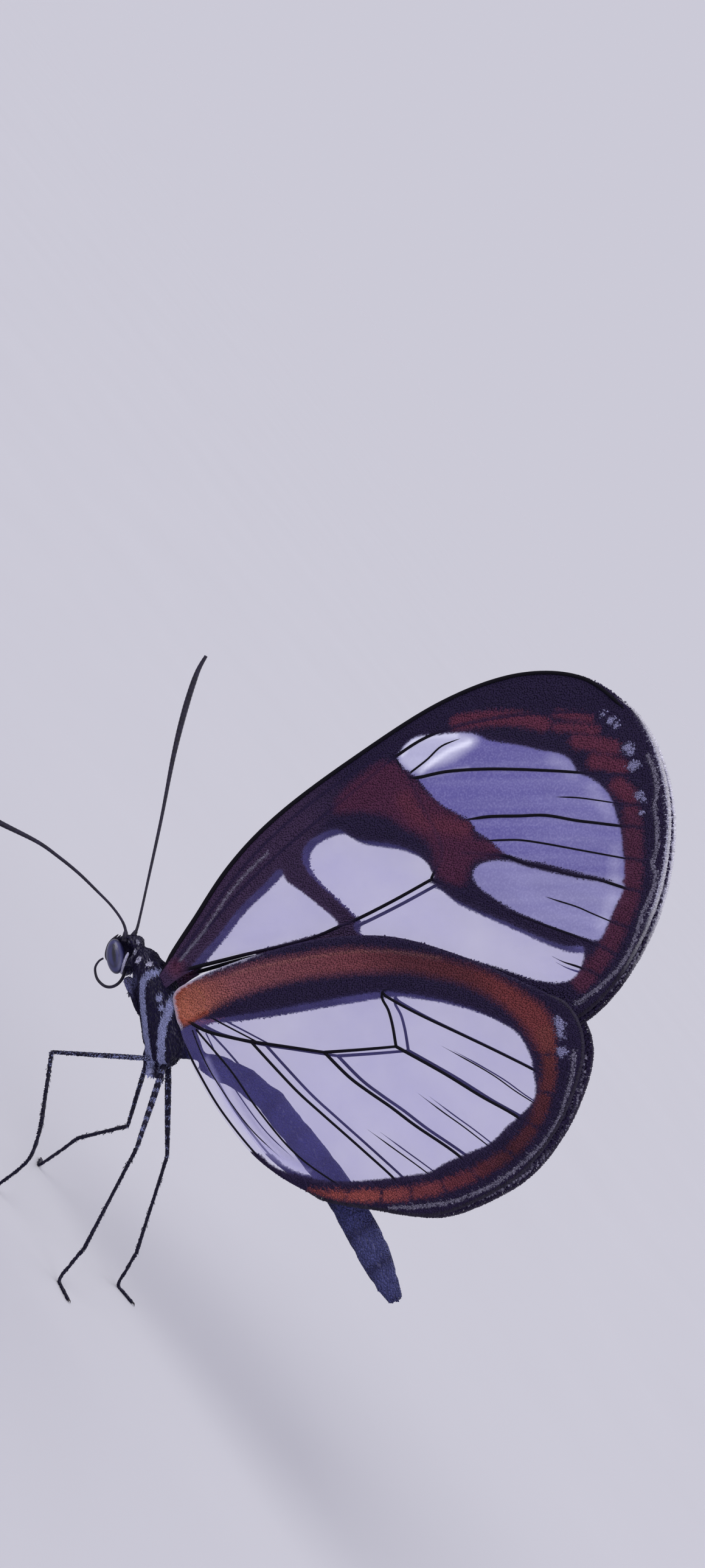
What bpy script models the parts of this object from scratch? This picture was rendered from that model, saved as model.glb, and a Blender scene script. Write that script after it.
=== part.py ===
"""Glasswing butterfly at rest, life size, wings closed above its back.

Metres, +Z up. The head points to -X, the tail to +X, and the insect's left side to -Y. It stands on its four
walking legs on the plane z = 0, and the origin is on that plane under the middle of its box.

Sizes below are millimetres on the insect itself: x runs from head to tail and z upwards, both from the root
of the left middle leg, and y runs to the insect's right from its middle plane.
"""
import bpy
import bmesh
from math import cos, sin, pi, radians, hypot
from mathutils import Vector, Matrix
from mathutils.geometry import delaunay_2d_cdt, intersect_point_line

FOREWING_LENGTH = 28.0         # root to apex, the size that all the others follow
DRAWN_LENGTH = 28.0            # the same on the drawing that the sizes below are read from
MM = 0.001 * FOREWING_LENGTH / DRAWN_LENGTH
GAP = 0.3                      # left between pieces that touch
STANCE = 9.6                   # height of the middle leg's root above the floor
CENTRE_X = 0.15                # middle of the whole box, from the same root
CENTRE_Y = 0.0

MEMBRANE = 0.5                 # thickness of a wing between its veins
VEIN_HEIGHT = 0.12             # how far a vein stands out of each face
VEIN_HALF_WIDTH = 0.3
EDGE_STEP = 0.95               # length of one side of a wing's outline
VEIN_STEP = 1.1
VEIN_TO_RIM = 0.15             # a vein's points stop this far inside the outline
GRID_TO_RIM = 0.3
GRID_TO_VEIN = 0.2
VEINS_FROM = 0.2               # the share of the bend where the veins begin to stand out
ROOT_GRID = 0.8                # spacing of the points that let a wing bend near its root

FOREWING_ROOT = (-2.9, 4.0)
FOREWING_ROOT_Y = 1.0          # the forewings start at the sides of the back
FOREWING_Y = 0.6               # and stand close together above it
FOREWING_BEND = 4.0
HINDWING_ROOT = (-0.8, 3.6)
HINDWING_ROOT_Y = 1.05         # the hindwings start behind them
HINDWING_Y = 1.65              # and lie outside them
HINDWING_BEND = 3.0
RIGHT_SWING = radians(0.6)     # the right pair leans back a little more than the left

FOREWING_OUTLINE = (
    (-3.0, 3.4), (-4.2, 6.5), (-5.5, 10.2), (-6.1, 14.0), (-6.0, 19.0), (-5.5, 24.6), (-4.0, 29.0),
    (-1.6, 31.7), (1.6, 32.6), (4.6, 32.0), (7.6, 30.3), (10.3, 27.4), (12.1, 23.8), (12.6, 20.6),
    (11.6, 18.9), (9.2, 17.6), (6.4, 15.3), (3.4, 12.2), (1.0, 9.6), (-0.9, 8.2), (-1.75, 6.4), (-2.1, 4.6),
    (-2.2, 3.2),
)
HINDWING_OUTLINE = (
    (-1.6, 3.4), (-1.7, 4.4), (-1.4, 6.1), (-0.5, 8.8), (0.9, 12.0), (3.1, 15.1), (6.0, 17.4), (9.6, 19.5),
    (12.0, 20.5), (14.2, 19.8), (16.1, 17.3), (17.2, 14.4), (17.3, 11.8), (16.4, 8.4), (14.4, 6.1),
    (11.8, 3.7), (8.6, 2.3), (5.3, 2.0), (2.6, 2.2), (0.4, 2.6),
)
FOREWING_VEINS = (
    ((-3.1, 5.4), (-4.8, 9.8), (-5.4, 14.0), (-5.3, 18.6), (-4.8, 23.6)),
    ((-2.9, 5.2), (-4.0, 9.6), (-4.4, 13.6), (-4.3, 17.6), (-3.9, 21.4), (-2.9, 25.2), (-1.2, 28.6),
     (0.6, 31.2)),
    ((-2.6, 5.4), (-1.2, 8.2), (0.4, 11.4), (1.3, 14.3), (1.9, 16.8), (2.2, 18.7)),
    ((2.2, 18.7), (1.1, 20.2), (-1.6, 20.7), (-3.9, 21.2)),
    ((-2.7, 21.0), (-0.7, 24.7), (2.4, 28.2), (4.0, 30.9)),
    ((-0.4, 20.5), (2.0, 24.2), (4.9, 27.3), (7.0, 29.5)),
    ((1.1, 20.2), (3.9, 23.1), (7.2, 25.8), (9.6, 27.2)),
    ((2.2, 18.7), (5.6, 21.0), (9.2, 23.3), (11.2, 24.4)),
    ((1.3, 14.3), (4.4, 17.0), (8.2, 19.9), (11.8, 21.9)),
)
HINDWING_VEINS = (
    ((-0.9, 5.0), (0.9, 9.8), (3.6, 13.8), (7.4, 16.9), (11.4, 19.0)),
    ((-0.2, 3.7), (1.4, 4.5), (3.5, 6.1), (4.6, 7.2), (6.0, 8.5), (7.1, 10.2), (8.1, 11.9)),
    ((8.1, 11.9), (6.9, 12.5), (5.7, 12.7), (5.3, 13.4)),
    ((5.7, 12.7), (9.6, 15.0), (12.6, 16.6), (15.4, 17.3)),
    ((8.1, 11.9), (11.6, 13.5), (14.6, 14.7), (16.4, 14.8)),
    ((7.1, 10.2), (10.6, 11.2), (14.2, 12.3), (16.4, 12.3)),
    ((6.0, 8.5), (8.6, 9.1), (12.0, 9.8), (15.4, 10.3)),
    ((3.5, 6.1), (6.6, 6.2), (10.6, 6.8), (14.4, 7.4)),
    ((2.0, 3.4), (5.0, 3.3), (8.4, 3.7), (12.0, 5.2)),
)

# Sections of the thorax: a point on the back, a point on the breast, and half the width, from neck to waist.
THORAX_SECTIONS = (
    ((-5.05, 3.50), (-4.60, 2.70), 0.60),
    ((-4.80, 3.80), (-4.10, 2.20), 0.95),
    ((-4.15, 3.98), (-3.45, 1.90), 1.20),
    ((-3.00, 3.98), (-2.60, 1.50), 1.32),
    ((-1.60, 3.72), (-1.60, 0.98), 1.34),
    ((-0.20, 3.40), (-0.50, 0.42), 1.28),
    ((0.85, 3.15), (0.50, 0.28), 1.08),
    ((1.32, 3.02), (1.15, 1.15), 0.82),
    ((1.62, 2.95), (1.58, 2.15), 0.56),
)
THORAX_NODES = (("prothorax", 0.0, 1.85), ("mesothorax", 2.15, 4.87), ("metathorax", 5.1, 8.0))
THORAX_RINGS_PER_SECTION = 4
BODY_SIDES = 24
CURVE_STEPS = 24               # short pieces to each stretch of a smooth line

# The abdomen: x, z, half height, half width of each section. It has eight visible rings.
ABDOMEN_SECTIONS = (
    (1.95, 2.60, 0.46, 0.48), (3.2, 3.25, 0.78, 0.76), (5.0, 4.02, 0.86, 0.82), (7.2, 4.55, 0.92, 0.86),
    (9.4, 4.80, 0.97, 0.88), (11.6, 4.85, 1.02, 0.90), (13.8, 4.65, 1.04, 0.90), (15.8, 4.30, 0.92, 0.84),
    (17.4, 3.95, 0.70, 0.62), (18.5, 3.80, 0.42, 0.36),
)
ABDOMEN_RINGS = 8
RING_GROOVE = 0.05
GROOVE_POWER = 6               # higher makes the grooves between the rings narrower
ABDOMEN_STEPS = 48
SLOPE_REACH = 0.05             # how far along the sections the body's direction is measured

HEAD_CENTRE = (-5.45, 0.0, 2.55)
HEAD_UP = Vector((-0.79, 0.0, 0.61))       # the face looks forwards and down
HEAD_FORWARD = Vector((-0.61, 0.0, -0.79))
# Sections of the head, mouth to crown: place along HEAD_UP, shift along HEAD_FORWARD, half depth, half width.
HEAD_SECTIONS = (
    (-0.95, -0.02, 0.22, 0.26), (-0.80, 0.0, 0.43, 0.52), (-0.45, 0.0, 0.55, 0.80), (0.0, -0.04, 0.64, 0.92),
    (0.45, -0.20, 0.80, 0.86), (0.80, -0.30, 0.66, 0.64), (0.95, -0.34, 0.34, 0.36),
)
HEAD_HALF_HEIGHT = 0.95
EYE_CENTRE = (-5.43, 0.78, 2.28)
EYE_HALF_SIZE = (0.62, 0.45, 0.86)         # along the head's forward, side and up directions
EYE_SEGMENTS = 20
EYE_RINGS = 10
PALP = (
    (-5.38, 0.28, 1.62), (-5.82, 0.28, 1.55), (-6.27, 0.29, 1.92), (-6.52, 0.31, 2.45), (-6.62, 0.31, 2.9),
)
PALP_RADII = (0.25, 0.25, 0.26, 0.25, 0.14)
PALP_STEP = 0.2
# The tongue hangs in one loop from the mouth: down along the throat, round, and up in front of the face.
COIL_CENTRE = (-5.15, 0.0, 1.20)
COIL_RADIUS = 0.80
COIL_TUBE = 0.25
COIL_START = radians(50)
COIL_TURN = radians(195)
COIL_STEPS = 20

LEFT_ANTENNA = ((-5.85, -0.36, 2.95), (-6.28, -0.40, 3.33), (-6.9, -0.48, 3.52), (-7.87, -0.66, 3.54),
                (-8.97, -1.0, 3.42), (-10.2, -1.6, 3.28), (-11.4, -2.3, 3.04), (-12.6, -3.0, 2.70),
                (-14.3, -4.2, 1.90), (-15.6, -4.95, 1.30), (-16.9, -5.6, 0.75), (-18.1, -6.0, 0.30))
RIGHT_ANTENNA = ((-5.85, 0.36, 2.95), (-6.15, 0.40, 3.65), (-6.8, 0.54, 4.38), (-8.1, 0.80, 5.72),
                 (-10.6, 1.35, 8.25), (-13.2, 1.85, 10.8), (-15.0, 2.15, 12.8), (-16.3, 2.35, 14.5),
                 (-16.9, 2.45, 15.6))
FEELER_STEP = 0.5
ANTENNA_RADIUS = 0.25
CLUB_RADIUS = 0.30
CLUB_SHARE = 0.22              # the thicker part at the tip

LEG_RADIUS = 0.26
THIGH_SWELL = 0.06
FOOT_TAPER = 0.01
FOOT_STEP = 0.35
FOOT_EASE = 0.1                # the foot starts this much further off than the gap
STRAIGHT_KNEE = 0.5            # a knee straighter than this needs no room beside the thigh
FOOT_AXIS = 0.2                # height of the last foot joint's axis over the floor, which cuts its flat
FLOOR_SIZE = (40.0, 20.0, 2.0)
FLOOR = FOOT_AXIS - STANCE
# Each walking leg: root in the breast, knee, end of the shin, bend of the foot, where it lies down, its tip.
LEGS = {
    "mid_left": ((0.0, -0.5, 0.6), (-2.8, -3.0, -3.2), (0.3, -4.0, -5.7), (1.4, -4.3, -7.2),
                 (1.55, -4.6, FLOOR), (2.0, -5.6, FLOOR)),
    "mid_right": ((-0.6, 0.5, 0.8), (1.6, 3.2, -3.6), (0.2, 4.1, -6.6), (0.1, 4.4, -8.0),
                  (-0.1, 4.8, FLOOR), (-0.5, 5.8, FLOOR)),
    "hind_left": ((0.75, -0.22, 1.06), (4.1, -2.6, -2.4), (6.9, -3.8, -7.5), (7.2, -4.0, -8.6),
                  (7.6, -4.3, FLOOR), (8.7, -4.7, FLOOR)),
    "hind_right": ((0.75, 0.23, 1.05), (4.4, 2.7, -2.6), (7.4, 3.9, -7.4), (7.8, 4.1, -8.5),
                   (8.2, 4.5, FLOOR), (9.3, 5.0, FLOOR)),
}
FORELEG = (
    (-3.6, 0.55, 2.2), (-4.0, 0.60, 1.60), (-3.78, 0.64, 1.32), (-3.2, 0.66, 1.16), (-2.4, 0.60, 0.90),
)
FORELEG_RADIUS = 0.25
FORELEG_STEP = 0.3


def point(x, y, z):
    """A place on the insect, in metres in the model's own frame."""
    return Vector((x - CENTRE_X, y - CENTRE_Y, z + STANCE)) * MM


def finish(name, colour, roughness, metallic=0.0):
    """A Principled material, found again by its name."""
    material = bpy.data.materials.get(name) or bpy.data.materials.new(name)
    material.use_nodes = True
    shader = material.node_tree.nodes["Principled BSDF"]
    shader.inputs["Base Color"].default_value = (*colour, 1.0)
    shader.inputs["Roughness"].default_value = roughness
    shader.inputs["Metallic"].default_value = metallic
    material.diffuse_color = (*colour, 1.0)
    return material


def curve_value(values, t):
    """Catmull-Rom value at t, where t = i is values[i]. Values are Vectors or numbers."""
    last = len(values) - 1
    i = min(int(t), last - 1)
    f = t - i
    a, b = values[max(i - 1, 0)], values[i]
    c, d = values[i + 1], values[min(i + 2, last)]
    return 0.5 * ((2 * b) + (c - a) * f + (2 * a - 5 * b + 4 * c - d) * f * f
                  + (3 * b - a - 3 * c + d) * f ** 3)


def smooth_line(points, step, closed=False):
    """Points along a smooth line through the given ones, about one step apart."""
    knots = [Vector(p) for p in points]
    pad = 2
    if closed:
        knots = knots[-pad:] + knots + knots[:pad + 1]
    first = pad if closed else 0
    spans = len(points) if closed else len(points) - 1
    fine = [curve_value(knots, first + k / CURVE_STEPS) for k in range(spans * CURVE_STEPS + 1)]
    length = sum((b - a).length for a, b in zip(fine, fine[1:]))
    count = max(2, round(length / step))
    out, travelled, k = [fine[0]], 0.0, 0
    for n in range(1, count):
        target = length * n / count
        while travelled + (fine[k + 1] - fine[k]).length < target:
            travelled += (fine[k + 1] - fine[k]).length
            k += 1
        span = (fine[k + 1] - fine[k]).length
        out.append(fine[k].lerp(fine[k + 1], (target - travelled) / span))
    if not closed:
        out.append(fine[-1])
    return out


def add_object(name, bm, material, collection):
    """Closes off a bmesh as a named object with its faces pointing out."""
    bmesh.ops.recalc_face_normals(bm, faces=bm.faces)
    if bm.calc_volume(signed=True) < 0:
        bmesh.ops.reverse_faces(bm, faces=bm.faces)
    mesh = bpy.data.meshes.new(name)
    bm.to_mesh(mesh)
    bm.free()
    mesh.shade_smooth()
    mesh.set_sharp_from_angle(angle=radians(50))
    mesh.materials.append(material)
    piece = bpy.data.objects.new(name, mesh)
    collection.objects.link(piece)
    return piece


def loft(name, rings, material, collection):
    """A closed body over rings of points, flat at both ends."""
    bm = bmesh.new()
    loops = [[bm.verts.new(p) for p in ring] for ring in rings]
    for low, high in zip(loops, loops[1:]):
        for i in range(len(low)):
            j = (i + 1) % len(low)
            bm.faces.new((low[i], low[j], high[j], high[i]))
    bm.faces.new(reversed(loops[0]))
    bm.faces.new(loops[-1])
    return add_object(name, bm, material, collection)


def ellipse(centre, across, upwards, sides):
    """Points of an ellipse whose half axes are the two vectors."""
    angles = [2 * pi * i / sides for i in range(sides)]
    return [centre + across * cos(a) + upwards * sin(a) for a in angles]


def tube(name, line, radius, material, collection, sides=12):
    """A round body along a line of points, with radius(share of the length)."""
    rings = []
    side = None
    for i, place in enumerate(line):
        ahead = (line[min(i + 1, len(line) - 1)] - line[max(i - 1, 0)]).normalized()
        if side is None:
            side = ahead.orthogonal()
        side = (side - ahead * side.dot(ahead)).normalized()
        size = radius(i / (len(line) - 1)) * MM
        rings.append(ellipse(place, side * size, ahead.cross(side) * size, sides))
    return loft(name, rings, material, collection)


def cut(piece, cutter, solver="EXACT"):
    """Takes the cutter's space out of a piece."""
    modifier = piece.modifiers.new("clear_of_" + cutter.name, "BOOLEAN")
    modifier.operation = "DIFFERENCE"
    modifier.solver = solver
    modifier.object = cutter


def thorax_ring(t, grow):
    """The thorax's section at t, made larger all round by grow millimetres."""
    backs = [Vector((s[0][0], 0.0, s[0][1])) for s in THORAX_SECTIONS]
    breasts = [Vector((s[1][0], 0.0, s[1][1])) for s in THORAX_SECTIONS]
    widths = [s[2] for s in THORAX_SECTIONS]
    back, breast, width = curve_value(backs, t), curve_value(breasts, t), curve_value(widths, t)
    middle = (back + breast) / 2
    upwards = (back - breast) / 2
    upwards *= (upwards.length + grow) / upwards.length
    return ellipse(point(*middle), Vector((0, width + grow, 0)) * MM, upwards * MM, BODY_SIDES)


def thorax_piece(name, start, end, grow, material, collection):
    steps = max(3, round((end - start) * THORAX_RINGS_PER_SECTION))
    rings = [thorax_ring(start + (end - start) * k / steps, grow) for k in range(steps + 1)]
    return loft(name, rings, material, collection)


def head_rings(grow):
    places = [Vector(s) for s in ((a, b, 0.0) for a, b, _, _ in HEAD_SECTIONS)]
    depths = [s[2] for s in HEAD_SECTIONS]
    widths = [s[3] for s in HEAD_SECTIONS]
    centre = point(*HEAD_CENTRE)
    steps = (len(HEAD_SECTIONS) - 1) * 3
    rings = []
    for k in range(steps + 1):
        t = (len(HEAD_SECTIONS) - 1) * k / steps
        place = curve_value(places, t)
        stretch = 1 + grow / HEAD_HALF_HEIGHT
        middle = centre + (HEAD_UP * place.x * stretch + HEAD_FORWARD * place.y) * MM
        across = Vector((0, curve_value(widths, t) + grow, 0)) * MM
        rings.append(ellipse(middle, across, HEAD_FORWARD * (curve_value(depths, t) + grow) * MM, BODY_SIDES))
    return rings


def eye(name, sign, grow, material, collection):
    """One compound eye, an egg-shaped ball set in the side of the head."""
    bm = bmesh.new()
    bmesh.ops.create_uvsphere(bm, u_segments=EYE_SEGMENTS, v_segments=EYE_RINGS, radius=1.0)
    x, y, z = EYE_CENTRE
    ahead, side, up = (v + grow for v in EYE_HALF_SIZE)
    shape = Matrix((HEAD_FORWARD * ahead, Vector((0, side, 0)), HEAD_UP * up)).transposed()
    for vertex in bm.verts:
        vertex.co = point(x, sign * y, z) + shape @ vertex.co * MM
    return add_object(name, bm, material, collection)


def clear_of_line(p, line):
    """Distance from a flat point to a line of points."""
    best = 1e9
    for a, b in zip(line, line[1:]):
        near, share = intersect_point_line(p, a, b)
        near = a if share < 0 else b if share > 1 else near
        best = min(best, (p - near).length)
    return best


def inside(p, outline):
    """True where a flat point lies in a closed outline."""
    hit = False
    for a, b in zip(outline, outline[1:] + outline[:1]):
        if (a.y > p.y) != (b.y > p.y) and p.x < a.x + (p.y - a.y) * (b.x - a.x) / (b.y - a.y):
            hit = not hit
    return hit


def wing(name, sign, outline_points, vein_points, root, root_y, flat_y, bend, material, collection):
    """A wing: one sheet of triangles, thickened alike on both faces and more along each vein."""
    outline = smooth_line(outline_points, EDGE_STEP, closed=True)
    veins = [smooth_line(points, VEIN_STEP) for points in vein_points]
    flat, edges = list(outline), []
    for line in veins:
        for shift in (-VEIN_HALF_WIDTH, 0.0, VEIN_HALF_WIDTH):
            start = len(flat)
            for i, p in enumerate(line):
                along = line[min(i + 1, len(line) - 1)] - line[max(i - 1, 0)]
                aside = Vector((-along.y, along.x)).normalized() * shift
                if inside(p + aside, outline) and clear_of_line(p + aside, outline) > VEIN_TO_RIM:
                    flat.append(p + aside)
            edges += [(k, k + 1) for k in range(start, len(flat) - 1)]
    reach = int(bend / ROOT_GRID) + 1
    for i in range(-reach, reach + 1):
        for j in range(-reach, reach + 1):
            p = Vector((root[0] + (i + 0.5 * (j % 2)) * ROOT_GRID, root[1] + j * ROOT_GRID))
            clear = min([1e9] + [clear_of_line(p, line) for line in veins])
            if clear > VEIN_HALF_WIDTH + GRID_TO_VEIN and inside(p, outline):
                if clear_of_line(p, outline) > GRID_TO_RIM:
                    flat.append(p)
    rim = list(range(len(outline)))
    verts, _, faces, _, _, _ = delaunay_2d_cdt(flat, edges, [rim], 1, 1e-4)
    bm = bmesh.new()
    weights = []
    swing = RIGHT_SWING if sign > 0 else 0.0
    for v in verts:
        away = hypot(v.x - root[0], v.y - root[1])
        share = min(away / bend, 1.0)
        share = share * share * (3 - 2 * share)
        x = root[0] + (v.x - root[0]) * cos(swing) + (v.y - root[1]) * sin(swing)
        z = root[1] - (v.x - root[0]) * sin(swing) + (v.y - root[1]) * cos(swing)
        bm.verts.new(point(x, sign * (root_y + (flat_y - root_y) * share), z))
        vein = min([1e9] + [clear_of_line(v, line) for line in veins])
        weights.append(max(0.0, 1 - vein / VEIN_HALF_WIDTH) if share > VEINS_FROM else 0.0)
    bm.verts.ensure_lookup_table()
    for face in faces:
        bm.faces.new([bm.verts[k] for k in face])
    bmesh.ops.triangulate(bm, faces=bm.faces)
    piece = add_object(name, bm, material, collection)
    group = piece.vertex_groups.new(name="vein")
    for k, weight in enumerate(weights):
        group.add([k], weight, "REPLACE")
    full = MEMBRANE + 2 * VEIN_HEIGHT
    thick = piece.modifiers.new("thickness", "SOLIDIFY")
    thick.thickness = full * MM
    thick.offset = 0.0
    thick.use_even_offset = False
    thick.vertex_group = "vein"
    thick.thickness_vertex_group = MEMBRANE / full
    return piece


def leg_line(a, b):
    """A short straight run of points."""
    return [a.lerp(b, k / 4) for k in range(5)]


def walking_leg(name, places, material, collection):
    """Thigh, shin and foot of one leg, each its own node, with a gap at each joint."""
    root, knee, ankle, instep, toe, tip = (point(*p) for p in places)
    space = (LEG_RADIUS + GAP) * MM
    thigh_way, shin_way = (knee - root).normalized(), (ankle - knee).normalized()
    foot_way = (instep - ankle).normalized()
    thigh = tube("femur_" + name, leg_line(root, knee), lambda s: LEG_RADIUS + THIGH_SWELL * sin(pi * s),
                 material, collection)
    shin_start = knee + shin_way * space
    if thigh_way.dot(shin_way) > STRAIGHT_KNEE:
        shin_start = knee + shin_way * GAP * MM
    shin = tube("tibia_" + name, leg_line(shin_start, ankle), lambda s: LEG_RADIUS, material, collection)
    foot_line = [ankle + foot_way * (GAP + FOOT_EASE) * MM, instep, toe, tip]
    foot_line = smooth_line(foot_line, FOOT_STEP * MM)
    for p in foot_line:
        p.z = max(p.z, FOOT_AXIS * MM)
    foot = tube("tarsus_" + name, foot_line, lambda s: LEG_RADIUS - FOOT_TAPER * s, material, collection)
    return thigh, shin, foot


def main():
    for old in list(bpy.data.objects):
        bpy.data.objects.remove(old, do_unlink=True)
    solids = bpy.data.collections.new("glasswing_butterfly")
    cutters = bpy.data.collections.new("cutters")
    for collection in (solids, cutters):
        bpy.context.scene.collection.children.link(collection)

    chitin = finish("dark_chitin", (0.035, 0.028, 0.075), 0.6)
    belly = finish("slate_abdomen", (0.06, 0.06, 0.14), 0.55)
    limb = finish("leg_brown", (0.03, 0.022, 0.04), 0.5)
    gloss = finish("eye_gloss", (0.12, 0.11, 0.22), 0.15)
    membrane = finish("wing_membrane", (0.32, 0.27, 0.36), 0.3)
    tool = finish("cutter", (1.0, 0.2, 0.1), 0.5)

    thorax = [thorax_piece(name, start, end, 0.0, chitin, solids) for name, start, end in THORAX_NODES]
    thorax_space = thorax_piece("thorax_space", 0.0, len(THORAX_SECTIONS) - 1.0, GAP, tool, cutters)
    head_space = loft("head_space", head_rings(GAP), tool, cutters)
    head = loft("head", head_rings(0.0), chitin, solids)
    cut(head, thorax_space)
    for side, sign in (("left", -1), ("right", 1)):
        eye("eye_" + side, sign, 0.0, gloss, solids)
        cut(head, eye("eye_space_" + side, sign, GAP, tool, cutters))

    line = [Vector((s[0], 0.0, s[1])) for s in ABDOMEN_SECTIONS]
    heights = [s[2] for s in ABDOMEN_SECTIONS]
    widths = [s[3] for s in ABDOMEN_SECTIONS]
    rings = []
    for k in range(ABDOMEN_STEPS + 1):
        share = k / ABDOMEN_STEPS
        t = share * (len(line) - 1)
        before, after = max(t - SLOPE_REACH, 0), min(t + SLOPE_REACH, len(line) - 1)
        ahead = curve_value(line, after) - curve_value(line, before)
        upwards = Vector((-ahead.z, 0, ahead.x)).normalized()
        groove = RING_GROOVE * max(0.0, cos(2 * pi * share * ABDOMEN_RINGS)) ** GROOVE_POWER
        place = point(*curve_value(line, t))
        across = Vector((0, curve_value(widths, t) - groove, 0)) * MM
        rings.append(ellipse(place, across, upwards * (curve_value(heights, t) - groove) * MM, BODY_SIDES))
    abdomen = loft("abdomen", rings, belly, solids)
    cut(abdomen, thorax_space)

    for side, sign in (("left", -1), ("right", 1)):
        fore = wing("forewing_" + side, sign, FOREWING_OUTLINE, FOREWING_VEINS, FOREWING_ROOT,
                    FOREWING_ROOT_Y, FOREWING_Y, FOREWING_BEND, membrane, solids)
        hind = wing("hindwing_" + side, sign, HINDWING_OUTLINE, HINDWING_VEINS, HINDWING_ROOT,
                    HINDWING_ROOT_Y, HINDWING_Y, HINDWING_BEND, membrane, solids)
        cut(fore, thorax_space)
        cut(hind, thorax_space)
        palp_line = smooth_line([point(x, sign * y, z) for x, y, z in PALP], PALP_STEP * MM)
        palp = tube("palp_" + side, palp_line, lambda s: curve_value(PALP_RADII, s * (len(PALP_RADII) - 1)),
                    chitin, solids)
        cut(palp, head_space)
        arm = smooth_line([point(x, sign * y, z) for x, y, z in FORELEG], FORELEG_STEP * MM)
        arm = tube("foreleg_" + side, arm, lambda s: FORELEG_RADIUS, limb, solids)
        cut(arm, thorax_space)

    for side, places in (("left", LEFT_ANTENNA), ("right", RIGHT_ANTENNA)):
        feeler_line = smooth_line([point(*p) for p in places], FEELER_STEP * MM)
        swell = CLUB_RADIUS - ANTENNA_RADIUS
        feeler = tube("antenna_" + side, feeler_line,
                      lambda s: ANTENNA_RADIUS + swell * sin(pi * min(max((s - 1) / CLUB_SHARE + 1, 0), 1)),
                      limb, solids, sides=10)
        cut(feeler, head_space)

    x, y, z = COIL_CENTRE
    turns = [COIL_START - COIL_TURN * k / COIL_STEPS for k in range(COIL_STEPS + 1)]
    coil = [point(x + COIL_RADIUS * cos(a), y, z + COIL_RADIUS * sin(a)) for a in turns]
    proboscis = tube("proboscis", coil, lambda s: COIL_TUBE, limb, solids)
    cut(proboscis, head_space)
    cut(proboscis, thorax_space)

    length, width, depth = (side * MM for side in FLOOR_SIZE)
    bpy.ops.mesh.primitive_cube_add(size=1.0, location=(0.0, 0.0, -depth / 2))
    floor = bpy.context.object
    floor.name = "floor_space"
    floor.scale = (length, width, depth)
    for collection in floor.users_collection:
        collection.objects.unlink(floor)
    cutters.objects.link(floor)
    for name, places in LEGS.items():
        thigh, _, foot = walking_leg(name, places, limb, solids)
        cut(thigh, thorax_space)
        cut(foot, floor)

    for cutter in cutters.objects:
        cutter.hide_render = True
        cutter.display_type = "WIRE"


main()
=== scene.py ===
# %% [markdown]
# # A glasswing butterfly at rest
# This lesson dresses a solid model of a clearwing butterfly, about 42 mm tall with its wings closed. The
# solids give the true size and pose. Everything that the eye sees is made here: thin wings with clear
# panes, thousands of overlapping scales on their borders, a furry body, eyes, feelers and legs. The solids
# load first and never move, so every new piece can be placed by their boxes.

# %% Load the solids
import math
import bpy
import bmesh
import numpy as np
from mathutils import Matrix, Vector
from mathutils.geometry import delaunay_2d_cdt


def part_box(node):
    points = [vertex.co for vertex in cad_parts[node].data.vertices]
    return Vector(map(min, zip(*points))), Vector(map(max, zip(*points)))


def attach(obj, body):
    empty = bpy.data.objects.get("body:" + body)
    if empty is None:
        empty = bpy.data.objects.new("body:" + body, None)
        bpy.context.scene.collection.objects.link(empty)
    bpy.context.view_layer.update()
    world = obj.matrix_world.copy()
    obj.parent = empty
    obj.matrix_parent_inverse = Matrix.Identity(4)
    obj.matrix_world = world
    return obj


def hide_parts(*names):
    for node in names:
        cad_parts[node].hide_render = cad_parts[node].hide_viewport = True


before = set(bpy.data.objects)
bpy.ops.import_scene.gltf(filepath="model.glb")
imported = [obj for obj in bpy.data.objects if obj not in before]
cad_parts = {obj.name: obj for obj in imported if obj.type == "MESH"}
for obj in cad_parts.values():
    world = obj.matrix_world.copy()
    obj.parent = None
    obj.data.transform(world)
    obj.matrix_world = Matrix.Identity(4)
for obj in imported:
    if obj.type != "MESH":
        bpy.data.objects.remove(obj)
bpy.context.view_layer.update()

# %% [markdown]
# ## Sizes and a common way to write them
# A butterfly is easiest to measure flat on its side, so sizes are written in millimetres on the insect: x
# runs from head to tail, z upwards, both from the root of the left middle leg, and y to the insect's right.
# One helper turns such numbers into places in the scene. It finds the shift from the forewing's own box, so
# the numbers stay right if the solids are moved.

# %% Insect millimetres to scene metres
MM = 0.001
FOREWING_ROOT = (-2.9, 4.0)
HINDWING_ROOT = (-0.8, 3.6)
FOREWING_OUTLINE = (
    (-3.0, 3.4), (-4.2, 6.5), (-5.5, 10.2), (-6.1, 14.0), (-6.0, 19.0), (-5.5, 24.6), (-4.0, 29.0),
    (-1.6, 31.7), (1.6, 32.6), (4.6, 32.0), (7.6, 30.3), (10.3, 27.4), (12.1, 23.8), (12.6, 20.6),
    (11.6, 18.9), (9.2, 17.6), (6.4, 15.3), (3.4, 12.2), (1.0, 9.6), (-0.9, 8.2), (-1.75, 6.4), (-2.1, 4.6),
    (-2.2, 3.2),
)
HINDWING_OUTLINE = (
    (-1.56, 3.42), (-1.82, 3.9), (-1.78, 4.5), (-1.4, 6.1), (-0.5, 8.8), (0.9, 12.0), (3.1, 15.1),
    (6.0, 17.4), (9.6, 19.5), (12.0, 20.5), (14.2, 19.8), (16.1, 17.3), (17.2, 14.4), (17.3, 11.8),
    (16.4, 8.4), (14.4, 6.1), (11.8, 3.7), (8.6, 2.3), (5.3, 2.0), (2.6, 2.2), (0.7, 2.6), (0.1, 2.8),
    (-0.35, 2.86), (-0.9, 3.08),
)


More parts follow.
